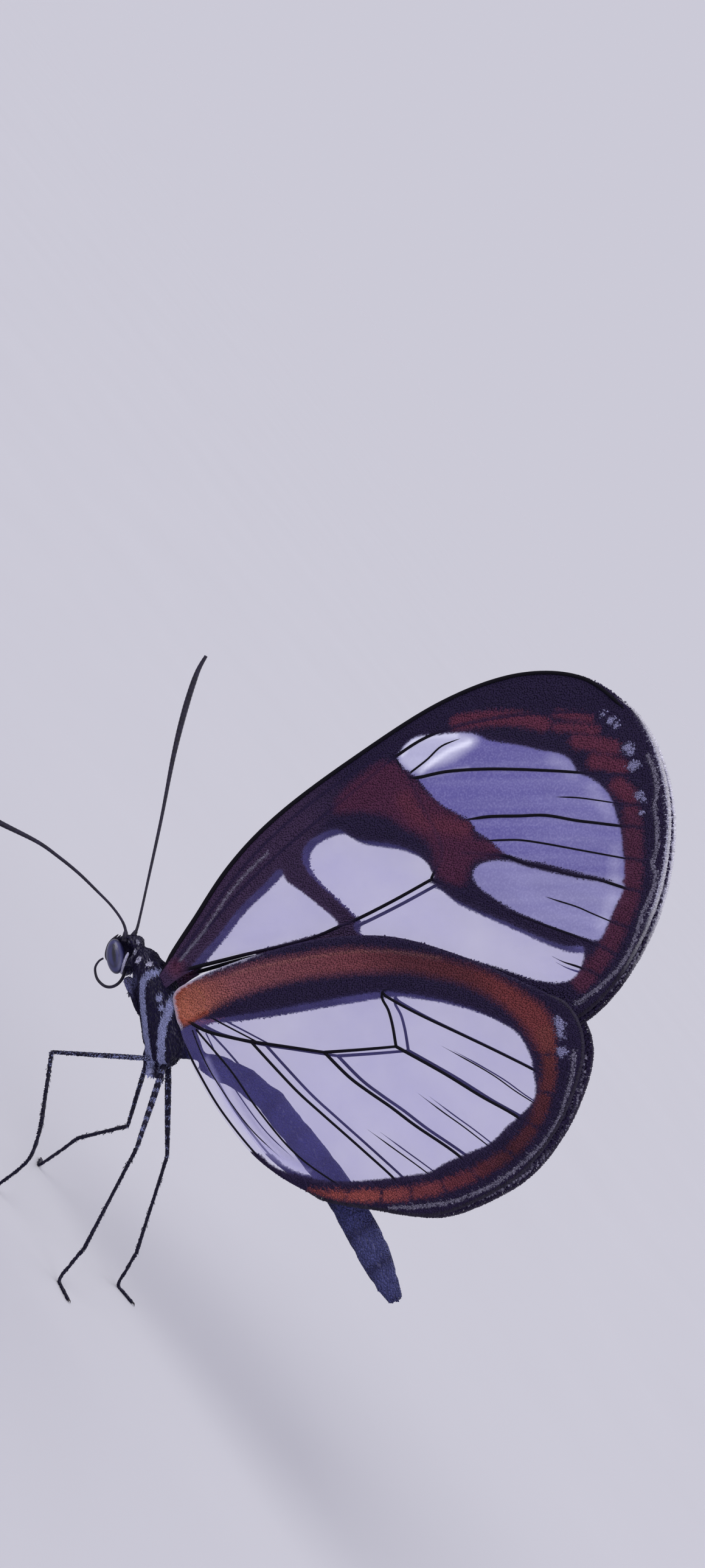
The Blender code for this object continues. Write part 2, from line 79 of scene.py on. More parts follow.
def walked(line):
    """How far each point of a line is from its start, measured along it."""
    return np.concatenate([[0], np.cumsum(np.linalg.norm(np.diff(line, axis=0), axis=1))])


def read_rows(at, stops, rows):
    """Rows in between the given ones, read off at any place along their stops."""
    return np.stack([np.interp(at, stops, column) for column in rows.T], axis=1)


def smooth(points, step, closed=False):
    """Evenly spaced points on a smooth line through the given ones, as rows of an array."""
    knots = np.array(points, float)
    before, after = (knots[-1:], knots[:2]) if closed else (knots[:1], knots[-1:])
    knots = np.vstack([before, knots, after])
    f = np.linspace(0, 1, 16, endpoint=False)[:, None]
    parts = []
    for a, b, c, d in zip(knots, knots[1:], knots[2:], knots[3:]):
        curve = (2 * a - 5 * b + 4 * c - d) * f ** 2 + (3 * b - a - 3 * c + d) * f ** 3
        parts.append(0.5 * (2 * b + (c - a) * f + curve))
    fine = np.vstack(parts + [knots[-2:-1]])
    length = walked(fine)
    at = np.linspace(0, length[-1], max(2, round(length[-1] / step)) + 1)
    return read_rows(at[:-1] if closed else at, length, fine)


wing_low, wing_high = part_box("forewing_left")
drawn = smooth(FOREWING_OUTLINE, 0.3, closed=True)
SHIFT = np.array([(wing_low[0] + wing_high[0]) / 2 / MM - (drawn[:, 0].min() + drawn[:, 0].max()) / 2, 0.0,
                  wing_high[2] / MM - drawn[:, 1].max()])


def place(points):
    """Scene metres of points given in insect millimetres."""
    return (np.asarray(points, float) + SHIFT) * MM


print("shift of the insect's own zero:", SHIFT.round(2), "mm")
print("forewing root to apex:", round(math.dist(FOREWING_ROOT, (1.6, 32.6)), 1), "mm")

# %% [markdown]
# ## The camera
# The photograph looks at the left side from slightly behind and a little above. The insect stands at a
# steep angle there, so on a level floor the camera has to roll by that angle. The lens follows from the
# scale: so many pixels to a millimetre at the distance of the insect.

# %% Camera from the photograph's scale
PHOTO_SIZE = (1159, 2576)
PIXELS_PER_MM = 30.4
DISTANCE = 155.0
AZIMUTH = math.radians(15)
ELEVATION = math.radians(6)
ROLL = math.radians(52)
LEG_ROOT_PIXEL = (229, 1741)
LEG_ROOT = (0.0, -0.9, 0.0)

look = np.array([-math.sin(AZIMUTH) * math.cos(ELEVATION), math.cos(AZIMUTH) * math.cos(ELEVATION),
                 -math.sin(ELEVATION)])
level = np.array([math.cos(AZIMUTH), math.sin(AZIMUTH), 0.0])
upright = np.cross(level, look)
photo_right = level * math.cos(ROLL) + upright * math.sin(ROLL)
photo_up = upright * math.cos(ROLL) - level * math.sin(ROLL)
aside = (LEG_ROOT_PIXEL[0] - PHOTO_SIZE[0] / 2) / PIXELS_PER_MM
above = (PHOTO_SIZE[1] / 2 - LEG_ROOT_PIXEL[1]) / PIXELS_PER_MM
eye_point = np.array(LEG_ROOT) - photo_right * aside - photo_up * above - look * DISTANCE

lens = bpy.data.cameras.new("photo_camera")
lens.sensor_fit = "VERTICAL"
lens.sensor_height = 36.0
lens.lens = PIXELS_PER_MM * DISTANCE / PHOTO_SIZE[1] * lens.sensor_height
lens.clip_start = 0.005
lens.clip_end = 200.0
camera = bpy.data.objects.new("photo_camera", lens)
bpy.context.scene.collection.objects.link(camera)
axes = np.column_stack([photo_right, photo_up, -look, place(eye_point)])
camera.matrix_world = Matrix([*axes.tolist(), [0, 0, 0, 1]])
bpy.context.scene.camera = camera
print("lens", round(lens.lens, 1), "mm, camera at", place(eye_point).round(4))

# %% [markdown]
# ## Shader maths as plain Python
# Node trees are hard to read in code. A small class wraps a socket, so that an expression such as `1 - mask
# * 0.5` adds its Math nodes by itself. One method makes any other node from its type, its settings and the
# values or links of its sockets.

# %% A socket that can be added and multiplied


class Value:
    """What a node's output carries, usable in sums and products."""

    def __init__(self, finish, socket):
        self.finish = finish
        self.socket = socket

    def combine(self, operation, first, second):
        return self.finish.node("Math", {"operation": operation}, {0: first, 1: second})

    def __add__(self, other):
        return self.combine("ADD", self, other)

    def __sub__(self, other):
        return self.combine("SUBTRACT", self, other)

    def __rsub__(self, other):
        return self.combine("SUBTRACT", other, self)

    def __mul__(self, other):
        return self.combine("MULTIPLY", self, other)

    __radd__ = __add__
    __rmul__ = __mul__

    def clamp(self):
        return self.finish.node("Clamp", {}, {"Value": self})


class Finish:
    """One material, and a short way to add nodes to it."""

    def __init__(self, name):
        self.material = bpy.data.materials.new(name)
        self.material.use_nodes = True
        self.tree = self.material.node_tree
        self.tree.nodes.clear()
        self.end = self.tree.nodes.new("ShaderNodeOutputMaterial")

    def node(self, kind, settings, inputs, output=0):
        made = self.tree.nodes.new("ShaderNode" + kind)
        for key, value in settings.items():
            setattr(made, key, value)
        for key, value in inputs.items():
            if isinstance(value, Value):
                self.tree.links.new(value.socket, made.inputs[key])
            else:
                made.inputs[key].default_value = value
        return Value(self, made.outputs[output])

    def attribute(self, name, output="Fac"):
        return self.node("Attribute", {"attribute_name": name}, {}, output)

    def place_on_object(self):
        return self.node("TexCoord", {}, {}, "Object")

    def noise(self, scale, detail=3.0):
        where = self.place_on_object()
        return self.node("TexNoise", {}, {"Vector": where, "Scale": scale, "Detail": detail}, "Fac")

    def mix(self, factor, first, second):
        """A mix of two colours, each a link or three numbers."""
        first, second = (c if isinstance(c, Value) else (*c, 1.0) for c in (first, second))
        return self.node("Mix", {"data_type": "RGBA"}, {"Factor": factor, "A": first, "B": second}, "Result")

    def bump(self, height, strength, distance):
        return self.node("Bump", {}, {"Height": height, "Strength": strength, "Distance": distance})

    def principled(self, **inputs):
        named = {key.replace("_", " "): value for key, value in inputs.items()}
        return self.node("BsdfPrincipled", {}, named)

    def finish(self, shader):
        self.tree.links.new(shader.socket, self.end.inputs["Surface"])
        return self.material


def linear(red, green, blue):
    """A colour as read off a screen, 0 to 255, made linear for the shaders."""
    return tuple(((c / 255 + 0.055) / 1.055) ** 2.4 if c > 10 else c / 255 / 12.92
                 for c in (red, green, blue))


print("socket class ready")

# %% [markdown]
# ## Distances that draw the pattern
# The dark borders, rust blotches, panes and spots of a wing are areas with soft, slightly ragged edges.
# Painting them as an image would fix their sharpness. Here each area is a smooth outline or a line with a
# width, and a signed distance says how far inside it a point lies. The same distances colour the wing sheet
# and every scale on it, so that the two always agree.

# %% Signed distances
LINE_STEP = 0.25


def line_distance(points, line):
    """How far each point is from a line of points, and where along the line it is nearest, from 0 to 1."""
    best = np.full(len(points), 1e9)
    along = np.zeros(len(points))
    for k, (a, b) in enumerate(zip(line[:-1], line[1:])):
        span = b - a
        share = np.clip(((points - a) @ span) / max(span @ span, 1e-12), 0, 1)
        away = np.linalg.norm(points - a - share[:, None] * span, axis=1)
        nearer = away < best
        best[nearer] = away[nearer]
        along[nearer] = (k + share[nearer]) / (len(line) - 1)
    return best, along


def area_distance(points, outline):
    """Signed distance to a closed outline, positive inside."""
    ring = np.vstack([outline, outline[:1]])
    away, _ = line_distance(points, ring)
    odd = np.zeros(len(points), bool)
    for a, b in zip(ring[:-1], ring[1:]):
        if a[1] == b[1]:
            continue
        crosses = (a[1] > points[:, 1]) != (b[1] > points[:, 1])
        x = a[0] + (points[:, 1] - a[1]) * (b[0] - a[0]) / (b[1] - a[1])
        odd ^= crosses & (points[:, 0] < x)
    return np.where(odd, away, -away)


def stroke_distance(points, strokes):
    """Signed distance to lines drawn with a width, positive inside. Each stroke is (points, half width)."""
    inside = [half - line_distance(points, smooth(line, LINE_STEP))[0] for line, half in strokes]
    return np.max(inside, axis=0)


def soft(distance, width):
    """0 outside to 1 inside, over a soft edge of the given width."""
    return np.clip(distance / width + 0.5, 0, 1)


def blend(base, colour, mask):
    """Paints a colour over rows of colours where the mask says so."""
    return base + (np.array(colour) - base) * mask[:, None]


square = np.array([[0, 0], [2, 0], [2, 2], [0, 2]])
print("distance in the middle of a 2 mm square:", area_distance(np.array([[1.0, 1.0]]), square))

# %% [markdown]
# ## A chart of distances
# Tens of thousands of scales will ask for the same distances, and each answer takes a walk round an
# outline. So each shape is measured once on a fine chart of the wing, and any point reads its distance off
# the chart, in between the nearest four squares.

# %% Chart


class Chart:
    """Distances kept on a grid over one kind of wing."""

    def __init__(self, outline, pitch=0.11, margin=1.0):
        self.low = outline.min(0) - margin
        self.pitch = pitch
        self.columns, self.rows = np.ceil((outline.max(0) + margin - self.low) / pitch).astype(int) + 1
        x, z = np.meshgrid(np.arange(self.columns), np.arange(self.rows))
        self.spots = np.stack([x.ravel(), z.ravel()], 1) * pitch + self.low
        self.kept = {}

    def keep(self, name, values):
        self.kept[name] = np.asarray(values).reshape(self.rows, self.columns)

    def areas(self, name, *outlines):
        inside = [area_distance(self.spots, smooth(outline, LINE_STEP, closed=True)) for outline in outlines]
        self.keep(name, np.max(inside, axis=0))

    def strokes(self, name, *strokes):
        """Each stroke is a line and its half width."""
        self.keep(name, stroke_distance(self.spots, strokes))

    def read(self, name, p):
        at = np.clip((p - self.low) / self.pitch, 0, (self.columns - 1.001, self.rows - 1.001))
        column, row = at.astype(int).T
        fx, fz = (at - at.astype(int)).T
        lower, upper = (grid[row, column] * (1 - fx) + grid[row, column + 1] * fx
                        for grid in (self.kept[name], self.kept[name][1:]))
        return lower * (1 - fz) + upper * fz


forewing_chart = Chart(smooth(FOREWING_OUTLINE, 0.2, closed=True))
hindwing_chart = Chart(smooth(HINDWING_OUTLINE, 0.2, closed=True))
print("charts of", len(forewing_chart.spots), "and", len(hindwing_chart.spots), "squares")

# %% [markdown]
# ## Veins
# The veins are the wing's frame, so they come before its colours: they part the clear panes and cut the
# rust border into blocks. Each is a line across the wing and a radius.

# %% Vein lines
FOREWING_VEINS = (
    (((-3.0, 4.6), (-4.75, 9.8), (-5.4, 14.0), (-5.35, 18.6), (-4.8, 23.6), (-3.6, 27.6)), 0.08),
    (((-2.9, 4.6), (-4.0, 9.6), (-4.4, 13.6), (-4.5, 17.6), (-4.6, 21.0), (-4.2, 23.6), (-2.6, 26.9),
      (-0.9, 29.4), (0.8, 31.6)), 0.08),
    (((-2.5, 4.6), (-1.25, 7.6), (0.35, 11.2), (0.9, 13.1), (1.2, 14.2), (1.6, 16.3), (1.95, 18.6)), 0.085),
    (((1.9, 18.6), (0.9, 19.9), (-1.6, 20.4), (-4.4, 20.9)), 0.06),
    (((-3.4, 21.1), (-3.4, 22.2), (-3.5, 23.2), (-3.3, 24.0), (-3.0, 24.8)), 0.05),
    (((-3.2, 20.9), (-2.9, 21.3), (-2.2, 22.7), (-1.1, 24.3), (0.1, 25.8), (1.3, 27.2), (2.2, 28.2),
      (4.6, 30.8)), 0.075),
    (((2.2, 26.1), (3.2, 27.3), (4.0, 28.1), (5.6, 29.6)), 0.04),
    (((0.2, 21.6), (0.6, 22.1), (1.2, 23.1), (2.1, 24.3), (3.0, 25.5), (4.2, 26.6), (5.1, 27.5),
      (7.3, 29.7)), 0.075),
    (((1.6, 21.6), (2.2, 22.3), (3.1, 23.5), (4.0, 24.4), (5.0, 25.3), (5.9, 26.1), (8.7, 28.6)), 0.05),
    (((1.8, 20.6), (3.3, 22.4), (4.2, 23.0), (5.2, 23.8), (6.5, 24.8), (7.5, 25.7), (10.0, 27.4)), 0.08),
    (((6.0, 22.6), (6.9, 23.2), (7.9, 23.9), (8.8, 24.4), (10.9, 25.6)), 0.04),
    (((1.95, 18.6), (4.4, 19.95), (7.6, 21.95), (9.9, 23.4), (11.6, 24.1)), 0.07),
    (((9.2, 21.3), (9.8, 21.6), (10.7, 22.2), (12.0, 22.8)), 0.05),
)
FOREWING_COSTA = ((-3.0, 3.6), (-4.2, 6.5), (-5.5, 10.2), (-6.05, 14.0), (-5.95, 19.0), (-5.4, 24.6),
                  (-4.0, 28.8), (-1.6, 31.5), (1.6, 32.3))
HINDWING_VEINS = (
    (((-0.9, 4.4), (0.7, 8.9), (2.9, 12.8), (5.6, 15.5), (8.6, 17.7), (12.3, 19.8)), 0.05),
    (((0.1, 3.5), (1.1, 4.0), (2.1, 4.8), (3.1, 5.7), (4.2, 6.8), (5.2, 7.8), (6.0, 8.6)), 0.075),
    (((-0.2, 4.2), (0.8, 4.7), (2.0, 5.3), (3.4, 6.0)), 0.04),
    (((6.0, 8.6), (7.1, 10.3), (8.1, 11.9)), 0.07),
    (((8.1, 11.9), (7.1, 12.4), (6.3, 12.7), (5.6, 12.8), (5.3, 13.1), (5.5, 13.5)), 0.065),
    (((5.4, 13.0), (5.8, 13.1), (7.5, 13.9), (10.1, 15.3), (11.8, 16.2), (13.6, 17.1), (15.4, 17.8)), 0.06),
    (((9.6, 13.9), (11.1, 14.6), (12.5, 15.2), (14.0, 15.7), (16.2, 16.6)), 0.03),
    (((8.1, 11.9), (10.7, 13.1), (12.9, 14.0), (14.9, 14.9), (16.8, 15.4)), 0.07),
    (((10.8, 11.4), (12.4, 11.9), (13.9, 12.4), (17.0, 13.3)), 0.03),
    (((6.0, 8.6), (7.8, 8.9), (9.1, 9.3), (10.5, 9.8), (12.1, 10.3), (14.6, 11.2), (16.7, 11.6)), 0.07),
    (((10.7, 8.1), (12.2, 8.6), (14.3, 9.3), (16.2, 9.8)), 0.03),
    (((3.1, 5.7), (4.7, 5.9), (6.8, 6.2), (8.6, 6.6), (10.3, 7.0), (11.6, 7.3), (13.4, 7.7), (15.2, 8.0)),
      0.06),
    (((0.6, 3.4), (2.8, 3.0), (5.0, 2.9), (7.0, 3.0), (9.0, 3.4)), 0.03),
    (((0.7, 3.6), (3.6, 3.9), (6.4, 3.9), (9.4, 4.2), (12.2, 5.2), (13.6, 6.2)), 0.045),
    (((0.5, 2.75), (2.6, 2.42), (5.3, 2.24), (8.6, 2.52), (10.8, 3.35), (11.8, 3.95)), 0.05),
)
for chart, lines in ((forewing_chart, FOREWING_VEINS), (hindwing_chart, HINDWING_VEINS)):
    chart.strokes("veins", *((line, 0.0) for line, _ in lines))
print("veins a wing:", len(FOREWING_VEINS), "and", len(HINDWING_VEINS))

# %% [markdown]
# ## The pattern of the forewing
# A glasswing's wing is bare membrane where it is clear and scaled where it is coloured. The forewing has a
# clear wedge at its root, two panes on either side of one bare vein, and a large pane with two lobes below
# the tip. Its two lobes are painted milky violet, which is painted shade: the membrane there is as clear as
# elsewhere, with dark shade behind it. A rust-brown blotch fills the end of the cell and sends a finger
# between the lobes, rust blocks line the border, and small white spots sit at the tip.

# %% Forewing panes
ROOT_PANE = ((-2.1, 5.0), (-1.4, 7.1), (-0.7, 9.0), (0.1, 10.9), (0.85, 12.9), (0.3, 13.1), (-0.5, 12.9),
             (-1.3, 12.7), (-2.0, 12.5), (-2.9, 12.2), (-3.65, 12.3), (-3.5, 11.0), (-3.3, 9.2),
             (-2.8, 7.3), (-2.5, 5.9))
CELL_PANE = ((-3.6, 13.8), (-3.85, 14.4), (-3.75, 15.3), (-3.4, 16.1), (-2.5, 16.5), (-1.8, 17.1),
             (-0.9, 18.0), (-0.2, 18.5), (0.4, 18.8), (1.1, 18.9), (1.7, 18.8), (1.95, 18.5), (1.6, 16.3),
             (1.2, 14.2), (0.3, 13.9), (-0.7, 13.7), (-1.6, 13.5), (-2.5, 13.4), (-3.2, 13.5))
REAR_PANE = ((1.2, 13.9), (1.6, 16.3), (1.95, 18.3), (3.5, 18.9), (5.0, 19.7), (6.4, 20.5), (8.0, 21.4),
             (9.2, 22.2), (9.8, 22.9), (10.5, 22.3), (10.8, 21.5), (10.5, 20.7), (9.5, 19.7), (8.3, 18.9),
             (6.8, 17.8), (5.5, 16.8), (4.0, 15.6), (2.7, 14.3), (2.0, 13.7))
UPPER_LOBE = ((-4.6, 21.1), (-4.8, 22.3), (-4.3, 23.2), (-3.1, 24.9), (-2.1, 25.5), (-1.0, 26.5),
              (0.1, 27.4), (0.9, 28.1), (1.6, 28.3), (2.2, 28.2), (3.0, 28.6), (3.9, 28.8), (4.6, 28.7),
              (5.4, 28.4), (6.2, 28.1), (7.0, 27.6), (7.8, 27.1), (8.3, 26.6), (7.4, 25.8), (6.3, 24.9),
              (5.0, 23.9), (4.1, 23.1), (3.2, 22.5), (2.1, 22.3), (1.4, 22.0), (1.0, 22.1), (0.5, 22.0),
              (-0.2, 21.7), (-1.2, 21.3), (-2.5, 21.2), (-3.3, 21.1), (-4.0, 20.9))
LOWER_LOBE = ((8.45, 26.6), (9.4, 25.0), (10.0, 23.8), (9.3, 23.15), (8.5, 22.55), (7.3, 21.85),
              (6.15, 21.2), (4.8, 20.65), (3.75, 20.35), (3.1, 20.5), (2.9, 21.0), (3.2, 21.8), (3.8, 22.5),
              (4.45, 22.95), (5.5, 23.8), (6.7, 24.8), (7.7, 25.75))
forewing_chart.areas("panes", ROOT_PANE, CELL_PANE, REAR_PANE, UPPER_LOBE, LOWER_LOBE)
# The two lobes get painted shade: a thicker, darker violet veil for the dark shade behind the membrane.
forewing_chart.areas("shaded lobes", UPPER_LOBE, LOWER_LOBE)
forewing_chart.areas("lower lobe", LOWER_LOBE)
forewing_chart.areas("outline", FOREWING_OUTLINE)
print("forewing panes measured")

# %% Forewing rust, spots and lines
RUST_BLOTCH = ((-4.9, 17.6), (-4.9, 19.8), (-4.3, 20.6), (-3.4, 20.8), (-2.5, 20.9), (-1.6, 21.1),
               (-0.7, 21.3), (0.2, 21.7), (0.9, 21.9), (1.5, 21.7), (2.2, 22.2), (3.2, 22.5), (2.9, 21.8),
               (2.5, 20.8), (2.9, 20.2), (3.2, 19.7), (2.7, 19.1), (2.0, 18.9), (1.3, 19.2), (0.4, 19.5),
               (-0.4, 19.3), (-1.3, 18.9), (-2.4, 18.5), (-3.4, 17.5), (-4.3, 16.4))
BRIGHT_RUST = (((-2.4, 19.8), (-1.0, 19.9), (-0.1, 20.6), (0.8, 21.4)), 0.45)
RUST_BLOCKS = (
    (((-4.0, 24.6), (-3.4, 25.6), (-2.6, 26.7), (-1.8, 27.6), (-1.0, 28.2)), 0.40),
    (((-1.0, 29.1), (-0.4, 29.7), (0.3, 30.3)), 0.22),
    (((-0.4, 28.7), (0.3, 29.5), (1.0, 30.2)), 0.24),
    (((0.9, 29.1), (1.5, 29.7), (2.3, 30.4)), 0.40),
    (((2.3, 29.2), (2.7, 29.6), (3.4, 30.1)), 0.42),
    (((4.1, 29.4), (4.6, 29.5), (5.0, 29.5)), 0.44),
    (((5.7, 29.1), (6.9, 28.3), (8.1, 27.4), (9.2, 26.3), (9.9, 25.1), (10.5, 24.0), (10.9, 22.8),
      (11.2, 21.6)), 0.45),
)
WHITE_SPOTS = ((0.55, 31.05, 0.13), (1.1, 31.2, 0.22), (1.5, 31.25, 0.18), (2.8, 31.0, 0.27),
               (3.1, 31.0, 0.2), (3.75, 30.65, 0.30), (5.2, 29.95, 0.22), (5.5, 30.0, 0.14),
               (6.0, 29.5, 0.12))
EDGE_LINE = ((3.8, 31.6), (4.8, 31.3), (5.8, 30.7), (6.1, 30.3), (7.1, 29.7), (8.1, 28.9), (8.4, 28.4),
             (9.2, 28.0),
             (9.85, 27.1), (10.3, 26.3), (11.1, 25.2), (11.55, 24.33), (11.76, 23.68), (11.87, 22.87),
             (11.95, 22.09), (11.94, 21.3), (11.9, 20.7))
COSTAL_LINE = ((-2.9, 4.9), (-3.5, 6.9), (-4.25, 9.1), (-4.6, 10.9), (-4.75, 12.2))
# A painted highlight on the pane at the costal end of the upper lobe.
TIP_HIGHLIGHT = ((-4.5, 21.0), (-4.8, 22.3), (-4.2, 23.4), (-3.3, 24.7), (-2.5, 25.0), (-2.5, 23.4),
             (-3.0, 21.8), (-3.4, 21.1))
PALE_ENDS = ((((0.9, 27.6), (2.0, 28.0)), 0.35), (((3.4, 28.3), (5.0, 28.2)), 0.3),
             (((6.8, 27.3), (7.9, 26.4)), 0.3), (((8.7, 25.7), (9.5, 24.3)), 0.3))
TIP_STREAKS = ((((-4.5, 21.3), (-4.68, 22.2), (-4.25, 23.2), (-3.5, 24.3)), 0.14),
               (((-3.05, 21.5), (-3.1, 22.6), (-3.0, 23.6), (-2.7, 24.6)), 0.13),
               (((-2.75, 21.6), (-2.1, 22.9), (-1.6, 23.7)), 0.07))
ROOT_SPOT = (-2.75, 4.5)
VEIN_WAY = np.array((0.62, 0.785))
VEIN_ASIDE = np.array((0.785, -0.62))
forewing_chart.areas("rust", RUST_BLOTCH)
forewing_chart.areas("tip highlight", TIP_HIGHLIGHT)
forewing_chart.strokes("bright", BRIGHT_RUST)
forewing_chart.strokes("blocks", *RUST_BLOCKS)
forewing_chart.strokes("edge", (EDGE_LINE, 0.075))
forewing_chart.strokes("costal", (COSTAL_LINE, 0.05))
forewing_chart.strokes("pale ends", *PALE_ENDS)
forewing_chart.strokes("streaks", *TIP_STREAKS)
print("forewing pattern:", len(RUST_BLOCKS), "rust bands,", len(WHITE_SPOTS), "white spots")

# %% Forewing colours
DARK = linear(36, 25, 60)
BROWN = linear(62, 43, 76)
RUST = linear(80, 36, 66)
RUST_LIGHT = linear(102, 46, 68)
BLOCK_RUST = linear(98, 44, 68)
WHITE = linear(205, 203, 228)
SPOT_GREY = linear(152, 150, 192)
EDGE_GREY = linear(150, 145, 168)
RAGGED = 0.045


def paint_spots(tint, p, spots, ragged, narrow=1.0):
    """White spots, each (x, z, radius), with ragged edges."""
    for x, z, size in spots:
        away = np.hypot((p[:, 0] - x) * narrow, p[:, 1] - z)
        tint = blend(tint, SPOT_GREY, 0.9 * soft(size - away + ragged * 1.5, 0.1))
    return tint


def paint_forewing(p, lot):
    """Colour, cover by scales, milkiness with the lobes' painted shade, and whiteness at rows of (x, z)."""
    chart = forewing_chart
    ragged = lot.normal(0, RAGGED, len(p))
    tint = np.tile(DARK, (len(p), 1))
    rim = chart.read("outline", p)
    tint = blend(tint, BROWN, soft(1.9 - rim, 0.6) * soft(16.5 - p[:, 1], 4.0))
    tint = blend(tint, BROWN, 0.8 * soft(chart.read("panes", p) + 0.9, 0.4) * soft(15.0 - p[:, 1], 1.5))
    rust = chart.read("rust", p) + ragged
    tint = blend(tint, RUST, soft(rust, 0.45))
    tint = blend(tint, RUST_LIGHT, 0.8 * soft(chart.read("bright", p) + ragged, 0.55) * soft(rust, 0.4))
    blocks = soft(chart.read("blocks", p) + ragged, 0.3)
    tint = blend(tint, BLOCK_RUST, blocks * (1 - 0.35 * soft(p[:, 0] - 5.4, 1.0)))
    vein_paint = 0.85 * soft(chart.read("veins", p) + 0.09, 0.1) * (rim > 0.3)
    tint = blend(tint, DARK, vein_paint * (1 - 0.5 * soft(rust, 0.3)))
    tint = blend(tint, EDGE_GREY, 0.7 * soft(chart.read("edge", p) + ragged * 0.6, 0.08))
    on_tip = soft(p[:, 0] - 2.5, 2.0) * soft(p[:, 1] - 26.5, 1.5)
    tint = blend(tint, WHITE, 0.9 * soft(0.26 - rim, 0.06) * on_tip)
    tint = blend(tint, RUST_LIGHT, 0.55 * soft(0.45 - np.hypot(*(p - ROOT_SPOT).T), 0.5))
    tint = blend(tint, EDGE_GREY, 0.75 * soft(chart.read("costal", p), 0.1))
    tint = paint_spots(tint, p, WHITE_SPOTS, ragged, 1.3)
    # White on the panes: a painted highlight at the upper lobe's costal end, then paler ends, streaks at the
    # tip and along the veins, and more white towards the margin.
    white = 0.6 * soft(chart.read("tip highlight", p), 0.5) + 0.14 * soft(chart.read("pale ends", p), 0.5)
    white += 0.4 * soft(chart.read("streaks", p), 0.16) + 0.16 * soft(chart.read("lower lobe", p) + 0.3, 0.4)
    along, across = p @ VEIN_WAY, p @ VEIN_ASIDE
    streak = np.sin(across * 6.1 + 0.7 * np.sin(along * 0.9)) + 0.6 * np.sin(across * 13.7 + along * 0.5)
    white += (0.02 * streak + 0.02) * soft(chart.read("veins", p) + 1.0, 0.4)
    white += 0.08 * np.clip((along - 19.0) / 8.0, 0, 1)
    return tint, -chart.read("panes", p), soft(chart.read("shaded lobes", p) + 0.4, 0.5), np.clip(white, 0, 1)


print("forewing colours ready")

# %% [markdown]
# ## The pattern of the hindwing
# The hindwing is one large pane inside a frame. Its front border is a broad stripe with an orange core,
# bright at the root, rust-brown in the middle and bright again at the outer corner. The core runs on round
# the outer margin as a chain of blocks between dark edges, and stops where the margin meets the body. There
# the pane has no border at all, only a thread of a vein. Two broken white spots mark the corner.

# %% Hindwing panes and cores
HIND_PANE = ((0.85, 4.75), (2.0, 6.8), (3.2, 9.1), (4.4, 11.4), (5.3, 13.0), (6.1, 13.9), (7.4, 15.15),
             (8.7, 16.15), (9.95, 16.9), (11.4, 17.5), (12.8, 17.35), (13.6, 16.95), (14.3, 16.6),
             (14.8, 16.0), (14.95, 15.0), (15.0, 14.2), (15.15, 13.3), (15.1, 12.6), (14.85, 11.6),
             (14.6, 10.6), (14.45, 9.5), (14.0, 8.6), (13.4, 7.5), (12.8, 6.5), (12.2, 5.6), (11.4, 4.6),
             (10.6, 3.9), (9.8, 3.2), (9.0, 2.75), (8.0, 2.45), (7.0, 1.0), (5.0, 0.4), (1.6, 0.8),
             (0.3, 2.6), (0.25, 3.4), (0.4, 4.1))
STRIPE_CORE = ((-1.6, 3.7), (-1.55, 4.5), (-0.8, 6.2), (-0.15, 8.1), (1.0, 10.4), (2.3, 12.65),
               (3.95, 14.65), (5.75, 16.4), (7.8, 17.9), (9.7, 18.8), (11.3, 19.25), (12.6, 18.9),
               (13.3, 17.9), (12.4, 17.9), (11.2, 17.95), (9.6, 17.65), (7.6, 16.7), (5.6, 15.0),
               (4.8, 14.1), (3.3, 12.0), (2.0, 9.8), (0.95, 7.4), (0.4, 5.6), (0.2, 4.3), (0.05, 3.3),
               (-0.55, 2.9), (-1.1, 3.1))
MARGIN_CORE = ((12.3, 18.6), (13.35, 18.05), (14.2, 17.4), (15.0, 16.45), (15.6, 15.45), (15.95, 14.3),
               (16.05, 13.0), (15.9, 11.65), (15.6, 10.35), (15.1, 8.95), (14.3, 7.45), (13.3, 5.95),
               (12.3, 4.65), (11.3, 3.75))
MARGIN_WIDTH_AT = (0.0, 0.12, 0.75, 0.9, 1.0)
MARGIN_HALF_WIDTH = (0.40, 0.35, 0.33, 0.26, 0.08)
# A painted highlight along a fold in the stripe's orange core.
HIGHLIGHT_LINE = ((-0.45, 6.8), (0.2, 8.4), (1.2, 10.4), (2.5, 12.7), (4.0, 14.7), (5.8, 16.5))
BASE_RING = ((-1.6, 4.7), (-1.55, 3.9), (-1.1, 3.35), (-0.55, 3.1), (-0.05, 3.25), (0.15, 3.8), (0.25, 4.5))
BASE_FOLD = ((-1.35, 4.75), (-0.8, 4.85), (-0.2, 4.7), (0.1, 4.3))
MARGIN_BREAKS = ((13.2, 18.0), (14.7, 16.7), (15.6, 15.2), (16.0, 13.4), (15.8, 11.3), (15.3, 9.6),
                 (14.6, 8.0), (13.8, 6.6), (12.6, 5.2))
PANE_MIDDLE = (8.6, 11.0)
HIND_SPOTS = ((12.1, 19.6, 0.13), (12.35, 19.5, 0.24), (12.65, 19.35, 0.2), (12.9, 19.2, 0.14),
              (13.6, 18.75, 0.24))
HIND_EDGE_LINE = ((13.9, 19.3), (14.5, 18.8), (15.0, 18.3), (15.6, 17.5), (16.2, 16.6), (16.7, 15.3),
                  (16.9, 13.9), (16.9, 11.9), (16.4, 9.8), (15.6, 8.2), (14.6, 6.6))
ANAL_FOLDS = ((((2.4, 3.2), (5.2, 2.75), (7.0, 2.8), (8.4, 3.1), (9.4, 3.5), (10.2, 4.0)), 0.14),
              (((7.2, 2.35), (8.6, 2.9), (9.6, 3.45), (10.6, 4.3)), 0.06))


def through(spot, middle, reach):
    """A short line through a spot, pointing away from the middle."""
    way = np.subtract(spot, middle)
    way = way / np.linalg.norm(way) * reach
    return tuple(np.subtract(spot, way)), tuple(np.add(spot, way))


